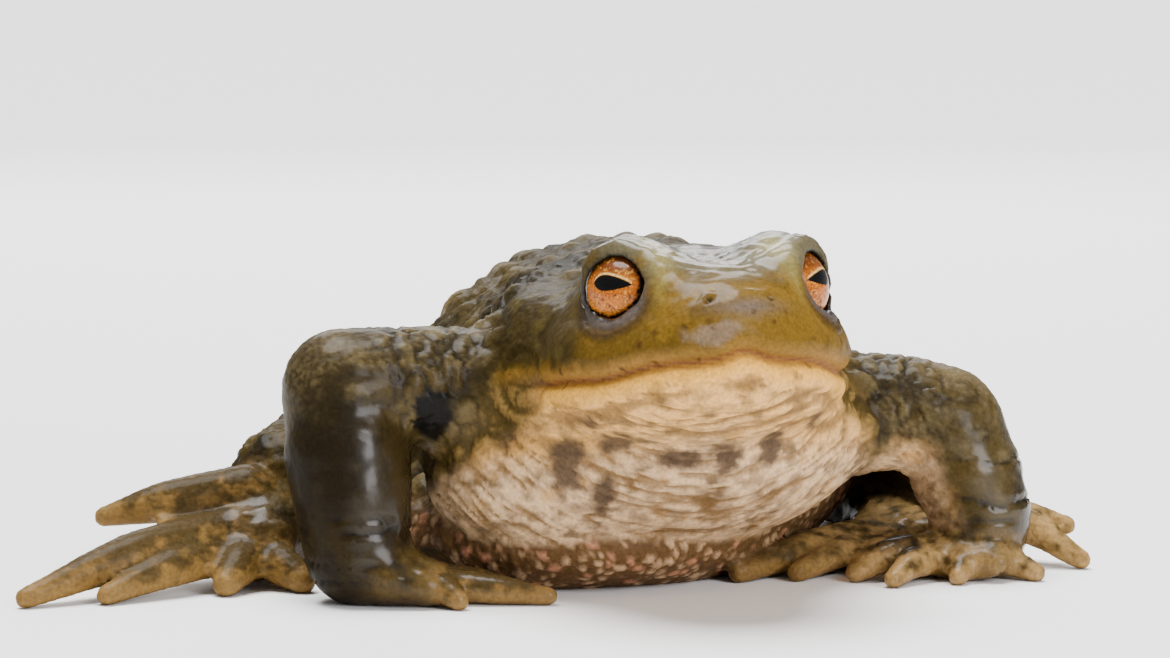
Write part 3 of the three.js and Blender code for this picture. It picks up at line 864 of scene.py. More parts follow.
def surface_net(axes: tuple[Array, Array, Array], values: Array) -> tuple[Array, Array]:
    """The surface where a field on a lattice is zero.

    Each lattice cell that the surface crosses gets one vertex, at the mean of the points where its
    twelve edges cross zero. Each lattice edge that crosses zero gets one four-sided face, between
    the four cells round it.

    Args:
        axes: the lattice's places along x, y and z.
        values: the field on the lattice.

    Returns:
        Vertices and quads.
    """
    inside = values < 0
    shape = tuple(n - 1 for n in values.shape)
    corners = [np.array(c) for c in np.ndindex(2, 2, 2)]
    count = sum(inside[view].astype(np.int8) for view in corner_views(shape))
    active = (count > 0) & (count < 8)
    cells = np.argwhere(active)
    index = np.full(shape, -1)
    index[active] = np.arange(len(cells))

    def place(corner: Array) -> Array:
        """Where a corner of each active cell is."""
        at = cells + corner
        return np.stack([axes[k][at[:, k]] for k in range(3)], 1)

    total, hits = np.zeros((len(cells), 3)), np.zeros((len(cells), 1))
    for low in corners:
        for k in range(3):
            if low[k]:
                continue
            high = low + np.eye(3, dtype=int)[k]
            a = values[tuple((cells + low).T)]
            b = values[tuple((cells + high).T)]
            crosses = (a < 0) != (b < 0)
            t = np.where(crosses, a / np.where(crosses, a - b, 1), 0)[:, None]
            total += crosses[:, None] * (place(low) * (1 - t) + place(high) * t)
            hits += crosses[:, None]
    quads = []
    for k in range(3):
        u, v = (k + 1) % 3, (k + 2) % 3
        ahead = [slice(1, -1)] * 3
        here, there = list(ahead), list(ahead)
        here[k], there[k] = slice(0, -1), slice(1, None)
        a, b = inside[tuple(here)], inside[tuple(there)]
        at = np.argwhere(a != b)
        leaves = a[tuple(at.T)]
        at += np.array([0 if i == k else 1 for i in range(3)])
        step = np.eye(3, dtype=int)
        round_edge = (step[u] + step[v], step[v], 0 * step[u], step[u])
        quad = np.stack([index[tuple((at - offset).T)] for offset in round_edge], 1)
        quads.append(np.where(leaves[:, None], quad, quad[:, ::-1]))
    return total / hits, np.vstack(quads)


def mesh_object(name: str, vertices: Array, faces: Array) -> bpy.types.Object:
    """A smooth-shaded mesh from millimetres in the toad's axes, in the scene at the origin.

    Args:
        name: the piece's name.
        vertices: rows of x, y and z in millimetres in the toad's axes.
        faces: rows of vertex numbers, three or four to a row.

    Returns:
        The new object.
    """
    places = (vertices + ORIGIN) * MM
    mesh = bpy.data.meshes.new(name)
    mesh.vertices.add(len(places))
    mesh.vertices.foreach_set("co", places.ravel().astype(np.float32))
    sides = faces.shape[1]
    mesh.loops.add(faces.size)
    mesh.loops.foreach_set("vertex_index", faces.ravel().astype(np.int32))
    mesh.polygons.add(len(faces))
    mesh.polygons.foreach_set("loop_start", np.arange(0, faces.size, sides, dtype=np.int32))
    mesh.update(calc_edges=True)
    mesh.shade_smooth()
    piece = bpy.data.objects.new(name, mesh)
    bpy.context.scene.collection.objects.link(piece)
    return piece


def paint(piece: bpy.types.Object, name: str, values: Array) -> None:
    """Stores a colour or number for each vertex, for the piece's material to read.

    Args:
        piece: the object.
        name: what the material calls it.
        values: a number or a colour for each vertex.
    """
    mesh = piece.data
    if values.ndim == 1:
        layer = mesh.attributes.new(name, "FLOAT", "POINT")
        layer.data.foreach_set("value", values.astype(np.float32))
    else:
        rows = np.column_stack([values, np.ones(len(values))]).astype(np.float32)
        layer = mesh.color_attributes.new(name, "FLOAT_COLOR", "POINT")
        layer.data.foreach_set("color", rows.ravel())


def middle(node: str) -> Array:
    """The centre of a CAD node's box, in millimetres."""
    low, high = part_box(node)
    return np.array(low + high) / 2 / MM


ORIGIN = middle("eye_left") - BUILD.eye_centre(1)


def add(
    tree: bpy.types.NodeTree, kind: str, settings: dict | None = None, **links: object
) -> bpy.types.Node:
    """Adds a shader node with its settings and its inputs.

    Args:
        tree: the node tree.
        kind: the node's type name, without "ShaderNode".
        settings: the node's own properties.
        **links: inputs by name (spaces as _) or as _0, _1: a socket to link, or a value to set.

    Returns:
        The node.
    """
    node = tree.nodes.new("ShaderNode" + kind)
    for key, value in (settings or {}).items():
        setattr(node, key, value)
    for key, value in links.items():
        socket = node.inputs[int(key[1:]) if key[1:].isdigit() else key.replace("_", " ")]
        if isinstance(value, bpy.types.NodeSocket):
            tree.links.new(value, socket)
        else:
            socket.default_value = value
    return node


# The skin's relief and colours


def mouth_height(across: Array) -> Array:
    """Height of the line of the mouth on the head: a notch in front, a droop at each corner.

    Args:
        across: places across the head.

    Returns:
        The line's height at those places.
    """
    notch = 0.75 * np.exp(-((across / 2) ** 2))
    droop = -0.7 * np.exp(-(((np.abs(across) - 11.5) / 2.6) ** 2))
    return notch + droop - 0.3


@dataclass
class Survey:
    """Where each point of the skin is on the toad.

    Attributes:
        p: places in the toad's axes.
        normal: outward directions.
        weight: for each region, its share in the point, from 0 to 1.
        along: distance along the nearest limb from its root, in millimetres.
        tip: 1 at the tip of a digit, 0 at its root.
        across, forward, up: places on the head.
        level: height above the line of the mouth.
        rear: 1 on the belly and rump, 0 on the chest and shoulders.
    """

    p: Array
    normal: Array
    weight: dict[Region, Array]
    along: Array
    tip: Array
    across: Array
    forward: Array
    up: Array
    level: Array
    rear: Array
    EDGE = 0.55

    @classmethod
    def of(cls, body: Body, p: Array, normal: Array) -> "Survey":
        """Measures the points against each part of the body.

        Args:
            body: the toad.
            p: points of its skin.
            normal: the direction outward at each.

        Returns:
            Where the points are.
        """
        distance = {region: np.full(len(p), 99.0) for region in Region}
        distance[Region.TRUNK] = body.trunk_distance(p)
        distance[Region.HEAD] = body.head_distance(p)
        nearest, along, tip = np.full(len(p), 99.0), np.zeros(len(p)), np.zeros(len(p))
        for limb in body.limbs:
            near = limb.reaches(p)
            d, place = limb.distance(p[near])
            distance[limb.region][near] = np.minimum(distance[limb.region][near], d)
            closer = d < nearest[near]
            at = near[closer]
            length = np.linalg.norm(np.diff(limb.path, axis=0), axis=1).sum()
            nearest[at], along[at], tip[at] = d[closer], place[closer] * length, place[closer]
        stack = np.stack(list(distance.values()))
        share = np.exp(-(stack - stack.min(0)) / cls.EDGE)
        share /= share.sum(0)
        across, forward, up = body.build.head_view(p)
        rear = rise(blend(body.front, p, 5) - blend(body.rear, p, 5), -0.3, 0.5)
        weight = dict(zip(distance, share))
        level = up - mouth_height(across)
        return cls(p, normal, weight, along, tip, across, forward, up, level, rear)

    def share(self, *regions: Region) -> Array:
        """The joint share of some regions."""
        return sum(self.weight[region] for region in regions)

    @property
    def arm(self) -> Array:
        """The share of arms and hands."""
        return self.share(Region.UPPER_ARM, Region.FOREARM, Region.HAND)

    @property
    def leg(self) -> Array:
        """The share of legs and feet."""
        return self.share(Region.THIGH, Region.SHANK, Region.TARSUS, Region.FOOT)

    @property
    def paw(self) -> Array:
        """The share of hands and feet."""
        return self.share(Region.HAND, Region.FOOT)

    @property
    def digit(self) -> Array:
        """The share of digits and webs."""
        return self.share(Region.FINGER, Region.TOE, Region.WEB)

    @property
    def throat(self) -> Array:
        """1 on the pale throat and chest, 0 on the back and flanks, with a wandering edge.

        Returns:
            A share for each point.
        """
        x, y, z = self.p.T
        edge = 21 - 0.95 * np.maximum(np.abs(x - 1) - 11, 0) + 1.2 * Noise(31).fractal(self.p / 4)
        front = rise(edge - z, -1.5, 1.5) * rise(y, -4, -9)
        chest = self.weight[Region.TRUNK] * front * (1 - self.rear)
        below = rise(self.level, -0.1, -0.6)
        chin = self.weight[Region.HEAD] * below * rise(self.forward, -0.8, 0.8)
        down = self.normal[:, 2]
        left = rise(-down - 0.8 * self.normal[:, 0], 0.3, 0.8) * rise(x, 30, 26)
        inner = np.where(x > 0, left, rise(down, -0.45, -0.8) * rise(-x, 21, 17))
        forearm = 0.5 * self.weight[Region.FOREARM] * (x > 0)
        armpit = (self.weight[Region.UPPER_ARM] + forearm) * inner
        return np.clip(chest + chin + armpit, 0, 1)

    @property
    def temple(self) -> Array:
        """1 on the smooth skin behind and below the eyes, as far back as the neck.

        Returns:
            A share for each point.
        """
        x, y, z = self.p.T
        reach = rise(self.forward, -8, -5.5) * rise(self.up + 0.15 * np.abs(self.across), 1.5, 3.5)
        return (self.weight[Region.TRUNK] + self.weight[Region.HEAD]) * reach * rise(z, 17, 19)

    @property
    def belly(self) -> Array:
        """1 on the granular underside behind the chest."""
        return self.weight[Region.TRUNK] * self.rear * rise(self.p[:, 2], 9, 5.5)


@dataclass(frozen=True)
class Warts:
    """Round warts scattered over the skin.

    Attributes:
        seed: which random scatter.
        tries: how many places are tried.
        radii: smallest and largest radius in millimetres.
        height: height as a share of the radius.
        spacing: distance between centres as a share of the radii's sum.
    """

    seed: int
    tries: int
    radii: tuple[float, float]
    height: float
    spacing: float
    # In radii: how far a wart changes the skin, and the height, centre and width of its moat
    OUTSKIRTS = 1.7
    MOAT = (-0.22, 1.15, 0.22)

    def scatter(self, p: Array, chance: Array) -> tuple[Array, Array]:
        """Centres and radii: each try draws a point of the skin and is kept if it has room.

        Args:
            p: the skin's points.
            chance: how likely a wart is at each point, from 0 to 1.

        Returns:
            The warts' centres and radii.
        """
        draw = np.random.default_rng(self.seed)
        picks = draw.choice(len(p), self.tries, replace=False)
        picks = picks[draw.random(self.tries) < chance[picks]]
        radii = draw.uniform(*self.radii, len(picks))
        kept = np.zeros(0, int)
        for i in range(len(picks)):
            room = self.spacing * (radii[kept] + radii[i])
            if np.all(np.linalg.norm(p[picks[kept]] - p[picks[i]], axis=1) > room):
                kept = np.append(kept, i)
        return p[picks[kept]], radii[kept]

    def raise_on(self, p: Array, chance: Array) -> Array:
        """Domes on the skin: (1 - reach squared) to the power 1.5, with a moat round each.

        Args:
            p: the skin's points.
            chance: how likely a wart is at each point, from 0 to 1.

        Returns:
            Heights in millimetres.
        """
        centres, radii = self.scatter(p, chance)
        height = np.zeros(len(p))
        for centre, radius in zip(centres, radii):
            near = np.flatnonzero(np.abs(p - centre).max(1) < self.OUTSKIRTS * radius)
            reach = np.linalg.norm(p[near] - centre, axis=1) / radius
            dome = np.maximum(1 - reach**2, 0) ** 1.5 + ridges(reach, self.MOAT)
            rows = height[near]
            height[near] = np.where(np.abs(dome * radius) > np.abs(rows), dome * radius, rows)
        return height * self.height


@dataclass
class Relief:
    """How far the skin stands out or lies in: warts, wrinkles, lips, lids and nostrils.

    Attributes:
        body: the toad.
        at: where the points are.
    """

    body: Body
    at: Survey
    LARGE_WARTS = Warts(7, 4200, (1.1, 2.1), 0.34, 1.0)
    SMALL_WARTS = Warts(8, 9000, (0.45, 0.95), 0.32, 1.0)
    # Ridges and grooves as height, centre and width, in millimetres
    MOUTH_LINE = ((-0.6, 0, 0.3), (-0.25, 0, 0.9))
    CORNER_FOLDS = ((0.2, 2.7, 0.3), (0.14, 4.3, 0.35), (-0.12, 3.5, 0.4))
    NOSTRIL_RIM = ((0.1, 3.0, 1.2), (-0.6, 0, 1.2))
    LID_FOLDS = ((-0.24, 3.95, 0.2), (0.1, 4.4, 0.25), (-0.16, 4.9, 0.28))
    # Depths and heights of what covers whole regions
    NECK_COBBLES = 0.15
    ARM_COBBLES = 0.3
    HAND_COBBLES = 0.16
    LEG_COBBLES = 0.2
    ARM_GRAIN = 0.07
    BELLY_GRANULES = 0.22
    THROAT_FOLDS = 0.32
    WRIST_CREASES = 0.34
    DIGIT_RINGS = 0.03
    FOREHEAD_RIDGES = 0.2
    FACE_GRAIN = 0.11
    PORES = 0.06
    UNEVENNESS = 0.05
    RING_PITCH = 0.95
    # Lines across the throat hang by this much per square millimetre from its middle
    SAG = 0.024
    THROAT_MIDDLE = 1.0

    def cobbles(self, size: tuple[float, float, float], seed: int, groove: float = 0.35) -> Array:
        """Rounded cells of skin between narrow grooves: 0 in a groove, about 1 on a cell."""
        _, edge, name = Noise(seed).cells(self.at.p / np.array(size) + 40)
        return rise(edge, 0, groove) * (0.75 + 0.25 * name)

    def sagging(self) -> Array:
        """Height above lines that hang across the throat as parabolas."""
        x, _, z = self.at.p.T
        return z - self.SAG * (x - self.THROAT_MIDDLE) ** 2

    def streaks(self) -> Array:
        """Fine folds of throat and chest, which sag like a hammock between the armpits.

        Returns:
            0 in the middle of a fold, about 1 between folds.
        """
        x, y, _ = self.at.p.T
        along = np.column_stack([x / 5.5, y / 8, self.sagging() / 0.75])
        along[:, 2] += 0.7 * Noise(53).value(self.at.p / 3.5)
        finer = np.abs(Noise(52).value(along * [1.7, 1.7, 1.9]))
        return np.abs(Noise(51).value(along)) + 0.5 * finer

    def trunk(self) -> Array:
        """Warts, the cobbled neck, the folds of the chest and the granules of the belly.

        Returns:
            Heights in millimetres.
        """
        at = self.at
        skin = at.weight[Region.TRUNK] * (1 - at.throat) * (1 - at.belly)
        skin *= 1 - at.temple
        neck = skin * rise(at.p[:, 1], -3, -9) + at.weight[Region.HEAD] * rise(at.forward, 1, -3)
        upper = skin * rise(at.normal[:, 2], -0.35, 0.1) * rise(at.p[:, 1], -22, -17)
        big = self.LARGE_WARTS.raise_on(at.p, upper)
        small = self.SMALL_WARTS.raise_on(at.p, (upper + 0.5 * at.leg) * (1 - at.arm))
        granules = self.cobbles((1.15, 1.15, 1.15), 61)
        return (
            big + small * (1 - 0.6 * rise(big, 0, 0.3))
            + neck * self.NECK_COBBLES * (self.cobbles((1.1, 1.3, 1.6), 62, 0.22) - 0.6)
            + at.belly * self.BELLY_GRANULES * (granules - 0.5)
            - at.throat * rise(at.level, -1.1, -2.0) * self.THROAT_FOLDS
            * (1 - rise(self.streaks(), 0, 0.5))
        )

    def limbs(self) -> Array:
        """Cobbles on arms, legs, hands and feet, creases near the wrists and rings on the digits.

        Returns:
            Heights in millimetres.
        """
        at = self.at
        top = self.cobbles((1.4, 4.5, 3.4), 63, 0.16)
        bends = Noise(64).fractal(at.p / 5)
        level = np.column_stack([at.p[:, :2] / 11, at.p[:, 2] / 1.5 + 0.8 * bends])
        crease = np.abs(Noise(65).value(level))
        low = 0.12 + 0.88 * rise(at.p[:, 2], 10, 7) + 0.6 * (at.p[:, 0] > 0)
        wrist = at.weight[Region.FOREARM] * low
        rings = np.sin(at.along * (2 * math.pi / self.RING_PITCH) + 2.5 * bends)
        inner = rise(np.abs(at.p[:, 0]), 29, 25)
        return (
            at.weight[Region.UPPER_ARM] * (1 - at.throat) * inner * self.ARM_COBBLES * (top - 0.75)
            - wrist * self.WRIST_CREASES * (1 - rise(crease, 0, 0.16))
            + at.paw * self.HAND_COBBLES * (self.cobbles((1.7, 1.7, 1.7), 66) - 0.6)
            + at.share(Region.THIGH, Region.SHANK, Region.TARSUS) * self.LEG_COBBLES
            * (self.cobbles((1.6, 1.6, 1.6), 67) - 0.6)
            + (at.arm - 0.7 * at.weight[Region.FOREARM]) * self.ARM_GRAIN
            * (self.cobbles((0.9, 0.9, 1.1), 68) - 0.6)
            + at.share(Region.FINGER, Region.TOE) * self.DIGIT_RINGS * rings
        )

    def mouth(self) -> Array:
        """The line of the mouth, its lips, and the folds under the jaw and round each corner.

        Returns:
            Heights in millimetres.
        """
        at = self.at
        face = at.weight[Region.HEAD] * rise(at.forward, 2.4, 4.2)
        sides = rise(np.abs(at.across), 5, 11)
        line = ridges(at.level, *self.MOUTH_LINE)
        upper = 0.34 * bell(at.level, 1.5, 1.1) * (0.5 + 0.5 * sides)
        lips = upper + 0.22 * bell(at.level, -1.3, 0.9)
        under = -(0.12 + 0.3 * sides) * bell(at.level, -2.9, 0.5)
        height = face * (line + lips + under)
        reach = np.hypot(at.forward - 0.9, at.up - 0.1) - 0.3 * rise(at.forward, 2, 6)
        round_corner = rise(np.abs(at.across), 9, 11.5) * rise(at.forward, 6.5, 3.0)
        round_corner *= rise(at.up, 5.0, 2.5)
        return height - round_corner * ridges(reach, *self.CORNER_FOLDS)

    def slit(self, side: int) -> Array:
        """Reach from the middle of a nostril: 0 there, 1 at the slit's edge.

        Args:
            side: 1 for the left nostril, -1 for the right.

        Returns:
            The reach of each point.
        """
        a = self.at.across - side * 2.8
        w = 0.66 * (self.at.up - 5.2) - 0.72 * (self.at.forward - 19.2)
        far = np.abs(0.72 * (self.at.up - 5.15) + 0.66 * (self.at.forward - 19.25))
        return np.hypot(a / 0.34, (w + 0.35 * side * a) / 0.17) + 2 * rise(far, 1, 3)

    def nostrils(self) -> Array:
        """A slit for each nostril, in a low rim."""
        return sum(ridges(self.slit(side), *self.NOSTRIL_RIM) for side in (1, -1))

    def lids(self) -> Array:
        """Folds that ring each eye, deepest below it.

        Returns:
            Heights in millimetres.
        """
        at, height = self.at, np.zeros(len(self.at.p))
        for side in (1, -1):
            ahead, out, above = self.body.build.round_eye(at.p, side)
            below = rise(above, 1.5, -1.5)
            front = rise(ahead, -0.5, 1.0) * at.weight[Region.HEAD]
            height += front * below * ridges(out, *self.LID_FOLDS)
        return height

    def face(self) -> Array:
        """Scalloped skin on the forehead and faint pores elsewhere on the face.

        Returns:
            Heights in millimetres.
        """
        at = self.at
        top = at.weight[Region.HEAD] * rise(at.normal[:, 2], 0.45, 0.75)
        scallops = Noise(71).value(np.column_stack([at.across / 1.9, at.forward / 0.85, at.up / 2]))
        pores, _, _ = Noise(72).cells(at.p / 1.5)
        crests = 1 - np.abs(scallops)
        fine = Noise(74).fractal(at.p / 0.75)
        skin = np.maximum(at.weight[Region.HEAD], at.temple) * rise(at.level, 0.3, 1.2)
        small = self.FACE_GRAIN * fine - self.PORES * rise(pores, 0.25, 0.1)
        return top * self.FOREHEAD_RIDGES * crests**2 + skin * small

    def height(self) -> Array:
        """The whole relief.

        Returns:
            Heights in millimetres.
        """
        body = self.trunk() + self.limbs()
        return (
            body + self.mouth() + self.nostrils() + self.lids() + self.face()
            + self.UNEVENNESS * Noise(73).fractal(self.at.p / 1.4)
        )


def mixed(a: Array, b: Array, share: Array) -> Array:
    """Colour a, with a share of colour b in it at each point."""
    return a + (b - a) * np.clip(share, 0, 1)[:, None]


@dataclass
class Coat:
    """Layers of colour on a skin.

    Attributes:
        colour: linear red, green and blue at each point.
    """

    colour: Array

    @classmethod
    def of(cls, ground: Tint, blotches: Tint, share: Array) -> "Coat":
        """A ground colour with a share of a second one in it at each point."""
        return cls(mixed(linear(ground.value), linear(blotches.value), share))

    def lay(self, tint: Tint, share: Array) -> "Coat":
        """Covers a share of each point with a colour."""
        self.colour = mixed(self.colour, linear(tint.value), share)
        return self

    def join(self, other: "Coat", share: Array) -> None:
        """Covers a share of each point with another coat."""
        self.colour = mixed(self.colour, other.colour, share)


@dataclass
class Pigment:
    """The colours of the skin, point by point, in linear light.

    Attributes:
        body: the toad.
        at: where the points are.
        relief: how far the skin stands out at each, in millimetres.
    """

    body: Body
    at: Survey
    relief: Array
    # Dark spots of throat and chest: x, y, z, half width and half height
    SPOT_DEPTH = 9.0
    SPOTS = (
        (-10.8, -24.0, 13.2, 1.7, 3.2),
        (-6.7, -26.5, 15.7, 1.7, 1.5),
        (-1.0, -27.5, 14.1, 2.9, 1.1),
        (3.4, -27.5, 13.9, 1.6, 1.8),
        (7.6, -27.0, 15.0, 1.5, 2.4),
        (-7.4, -25.0, 10.4, 1.2, 2.0),
        (-9.6, -25.0, 17.6, 1.6, 0.9),
        (-16.6, -19.6, 16.8, 2.0, 2.6),
        (11.4, -24.0, 17.4, 1.1, 1.8),
    )

    def back(self) -> Coat:
        """Olive brown with darker blotches, paler tops to the warts and painted shade in the
        hollows between them.

        Returns:
            The coat of the back.
        """
        p = self.at.p
        tone = Noise(81).fractal(p / 6.5)
        fine = Noise(82).fractal(p / 1.3)
        coat = Coat.of(Tint.BACK_OLIVE, Tint.BACK_BLOTCH, rise(tone + 0.3 * fine, -0.1, 0.25))
        coat.lay(Tint.BACK_OCHRE, rise(-tone + 0.45 * fine, 0.22, 0.6))
        coat.lay(Tint.WART_TOP, 0.5 * rise(self.relief, 0.2, 0.6))
        # painted shade: darker where the relief lies lowest, in the hollows round the warts
        return coat.lay(Tint.BACK_CREVICE, 0.7 * rise(self.relief, -0.06, -0.26))

    def face(self) -> Coat:
        """Ochre and olive, paling to cream on the lips and jaw, with grey on the brows and crown
        that is partly painted sheen, a painted sheen across the muzzle and painted shade in the
        nostrils.

        Returns:
            The coat of the face.
        """
        at = self.at
        tone = Noise(83).fractal(at.p / 4)
        fine = Noise(84).fractal(at.p / 0.9)
        dark = rise(tone + 0.6 * fine, -0.1, 0.3) * (1 - 0.6 * rise(at.forward, 9, 12.5))
        coat = Coat.of(Tint.FACE_OCHRE, Tint.FACE_BLOTCH, dark)
        # grey on the brows and crown: partly the skin's own colour, partly painted sheen
        coat.lay(Tint.BROW_GREY, rise(at.up + fine, 6.5, 9.5))
        coat.lay(Tint.FACE_WARM, 0.6 * rise(-tone + 0.5 * fine, 0.15, 0.5))
        olive = rise(at.forward + 3 * tone + 1.5 * fine, 13.5, 8.5)
        olive *= rise(at.level + fine, 0.8, 2.2)
        coat.lay(Tint.CHEEK_OLIVE, 0.9 * olive)
        temple = rise(at.forward, 8.5, 4) * rise(at.level, 1.5, 3.5)
        coat.lay(Tint.TEMPLE_BROWN, temple * (0.45 + 0.6 * fine))
        flecks = Noise(80).fractal(at.p / 1.6)
        coat.lay(Tint.CHEEK_FLECK, 0.5 * rise(flecks, 0.05, 0.4) * olive)
        corner = np.hypot(at.forward - 0.8, at.up)
        front = np.maximum(rise(at.forward, 0.6, 1.8), rise(corner, 3.0, 2.4))
        sides = 0.55 + 0.45 * rise(np.abs(at.across), 4, 10)
        coat.lay(Tint.LIP_TAN, rise(at.level + 0.4 * fine, 2.0, 0.4) * sides * front)
        snout = bell(at.across, -2.7, 2.3) * bell(at.level, 2.4, 1.0) * rise(at.forward, 14, 16)
        coat.lay(Tint.SNOUT_PATCH, 0.8 * rise(snout + 0.35 * fine, 0.2, 0.5))
        # painted sheen: a grey-lilac band across the muzzle below the nostrils
        muzzle_sheen = bell(at.across, 0.3, 3.2) * bell(at.up, 4.5, 0.75) * rise(at.forward, 14, 16)
        coat.lay(Tint.MUZZLE_GREY, 0.75 * muzzle_sheen)
        coat.lay(Tint.JAW_CREAM, rise(at.level, 0.1, -0.5) * front)
        coat.lay(Tint.MOUTH_LINE, 0.75 * bell(at.level, 0, 0.3) * rise(at.forward, -1, 1))
        pore, _, name = Noise(97).cells(at.p / 1.1)
        pores = 0.8 * rise(pore, 0.34, 0.22) * (name > 0.72)
        coat.lay(Tint.PORE_BROWN, pores * rise(at.level, 6, 3))
        self.openings(coat)
        return coat

    def openings(self, coat: Coat) -> None:
        """Yellow and grey lids, their dark folds and edges, and painted shade inside the nostrils.

        Args:
            coat: the coat of the face, which these are laid on.
        """
        at, build = self.at, self.body.build
        shape = Relief(self.body, at)
        for side in (1, -1):
            ahead, out, above = build.round_eye(at.p, side)
            near = rise(ahead, -1.5, 0.5)
            nasal = rise(build.eye_spread - side * at.across, -0.5, 2.5)
            below = rise(above, 2.5, -0.5)
            coat.lay(Tint.LID_YELLOW, near * nasal * 0.85 * bell(out, 4.6, 0.9))
            lid = near * rise(out, 4.05, 3.7) * below * (1 - 0.6 * nasal)
            coat.lay(Tint.LID_GREY, 0.85 * lid)
            outer = near * below * (1 - nasal)
            coat.lay(Tint.LID_FOLD, outer * 0.7 * bell(out, 4.3, 0.4))
            coat.lay(Tint.LID_EDGE, near * rise(out, 3.2, 3.0))
            # painted shade filling the slit of each nostril
            coat.lay(Tint.NOSTRIL, rise(shape.slit(side), 1.1, 0.7))

    def underside(self) -> Coat:
        """Cream throat and chest with grey-brown spots, a little ochre and painted shade along the
        bottoms of the folds.

        Returns:
            The coat of throat and chest.
        """
        at = self.at
        fine = Noise(85).fractal(at.p / 1.1)
        coat = Coat.of(Tint.THROAT_CREAM, Tint.THROAT_TAN, rise(fine, -0.1, 0.4))
        pale = Coat.of(Tint.CHEST_CREAM, Tint.CHEST_TAN, rise(fine, -0.1, 0.4))
        coat.join(pale, rise(at.level, -4.5, -8.5))
        coat.lay(Tint.THROAT_OCHRE, 0.45 * rise(Noise(86).fractal(at.p / 3), 0.25, 0.5))
        shape = Relief(self.body, at)
        # painted shade: darker along the middle of each fold, where the relief lies lowest
        wrinkle = rise(shape.streaks(), 0.3, 0.06) * rise(Noise(98).fractal(at.p / 3), -0.3, 0.3)
        coat.lay(Tint.WRINKLE, 0.8 * wrinkle * rise(at.level, -1.6, -2.6))
        small = Noise(87).fractal(at.p / np.array([2.4, 2.4, 1.0]))
        coat.lay(Tint.SMALL_SPOT, 0.75 * rise(small, 0.2, 0.45))
        x, y, z = at.p.T
        hairs = Noise(99).fractal(np.column_stack([x / 2.6, y / 2.6, shape.sagging() / 0.42]))
        coat.lay(Tint.STREAK, 0.45 * rise(hairs, 0.1, 0.4) * rise(at.level, -5, -8))
        return coat.lay(Tint.LARGE_SPOT, 0.92 * self.spots())

    def spots(self) -> Array:
        """The larger dark spots of throat and chest: ovals with a soft, ragged edge.

        Returns:
            A share for each point.
        """
        x, y, z = self.at.p.T
        ragged = 0.5 * Noise(88).fractal(self.at.p / 0.9)
        total = np.zeros(len(x))
        for sx, sy, sz, wide, high in self.SPOTS:
            deep = (y - sy) / self.SPOT_DEPTH
            reach = np.sqrt(((x - sx) / wide) ** 2 + deep**2 + ((z - sz) / high) ** 2)
            total = np.maximum(total, rise(reach + ragged, 1.2, 0.6))
        return total

    def limbs(self) -> Coat:
        """Dark olive arms and legs with ochre blotches, and tan digits that are dark above, with a
        painted sheen on the upper side of the left arm and painted shade in the hollows of the
        relief.

        Returns:
            The coat of limbs and digits.
        """
        at = self.at
        tone = Noise(89).fractal(at.p / np.array([4.5, 4.5, 5.5]))
        fine = Noise(90).fractal(at.p / 1.0)
        coat = Coat.of(Tint.LIMB_OLIVE, Tint.LIMB_BLOTCH, rise(tone + 0.4 * fine, -0.2, 0.25))
        ochre = 0.7 - 0.4 * at.weight[Region.FOREARM]
        coat.lay(Tint.LIMB_OCHRE, ochre * rise(-tone + 0.5 * fine, 0.15, 0.55))
        coat.lay(Tint.UPPER_ARM, 0.4 * at.weight[Region.UPPER_ARM])
        coat.lay(Tint.FOREARM_BROWN, 0.75 * at.weight[Region.FOREARM] * rise(at.p[:, 0], 0, -5))
        x, y, z = at.p.T
        cobbled = at.weight[Region.UPPER_ARM] * rise(self.relief, -0.04, 0.06)
        coat.lay(Tint.COBBLE_TOP, 0.55 * cobbled)
        # painted sheen: paler on the upward-facing side of the left arm
        left_arm_sheen = rise(x, 22, 28) * at.arm * rise(at.normal[:, 2] + fine, 0.3, 0.9)
        coat.lay(Tint.ARM_CREST, 0.4 * left_arm_sheen)
        patch = np.sqrt(((x + 22.3) / 1.8) ** 2 + ((z - 17.2) / 2.6) ** 2) + 0.4 * fine
        coat.lay(Tint.ARM_SPOT, rise(patch, 1.1, 0.8) * rise(y, -15, -18))
        above = rise(at.normal[:, 2] + 1.2 * fine, -0.2, 0.7)
        digit = Coat.of(Tint.DIGIT_TAN, Tint.DIGIT_TOP, above)
        digit.lay(Tint.DIGIT_TIP, 0.8 * rise(at.tip, 0.75, 1.0))
        digit.lay(Tint.PALE_DIGIT, 0.8 * rise(x, 10, 20) * rise(fine, 0.4, -0.2))
        coat.join(digit, at.digit + (0.2 + 0.3 * (x > 0)) * at.paw)
        pads = Noise(91).value(at.p / 2)
        for thumb in ((-22.2, -18.2, 3.2), (22.5, -15.6, 2.8)):
            reach = np.linalg.norm(at.p - np.array(thumb), axis=1)
            coat.lay(Tint.THUMB_PAD, rise(reach + 0.4 * pads, 3.0, 2.0) * at.normal[:, 2])
        # painted shade: darker where the relief lies lowest, in grooves and creases
        return coat.lay(Tint.LIMB_CREVICE, 0.6 * rise(self.relief, -0.06, -0.24))

    def belly(self) -> Coat:
        """Brown, with a paler top to each granule and some reddish ones.

        Returns:
            The coat of the belly.
        """
        _, edge, name = Noise(61).cells(self.at.p / 1.15 + 40)
        top = rise(edge, 0.12, 0.4)
        coat = Coat.of(Tint.BELLY_BROWN, Tint.GRANULE_TOP, top * rise(name, 0.2, 0.6))
        return coat.lay(Tint.GRANULE_RED, 0.7 * top * rise(name, 0.8, 0.85))

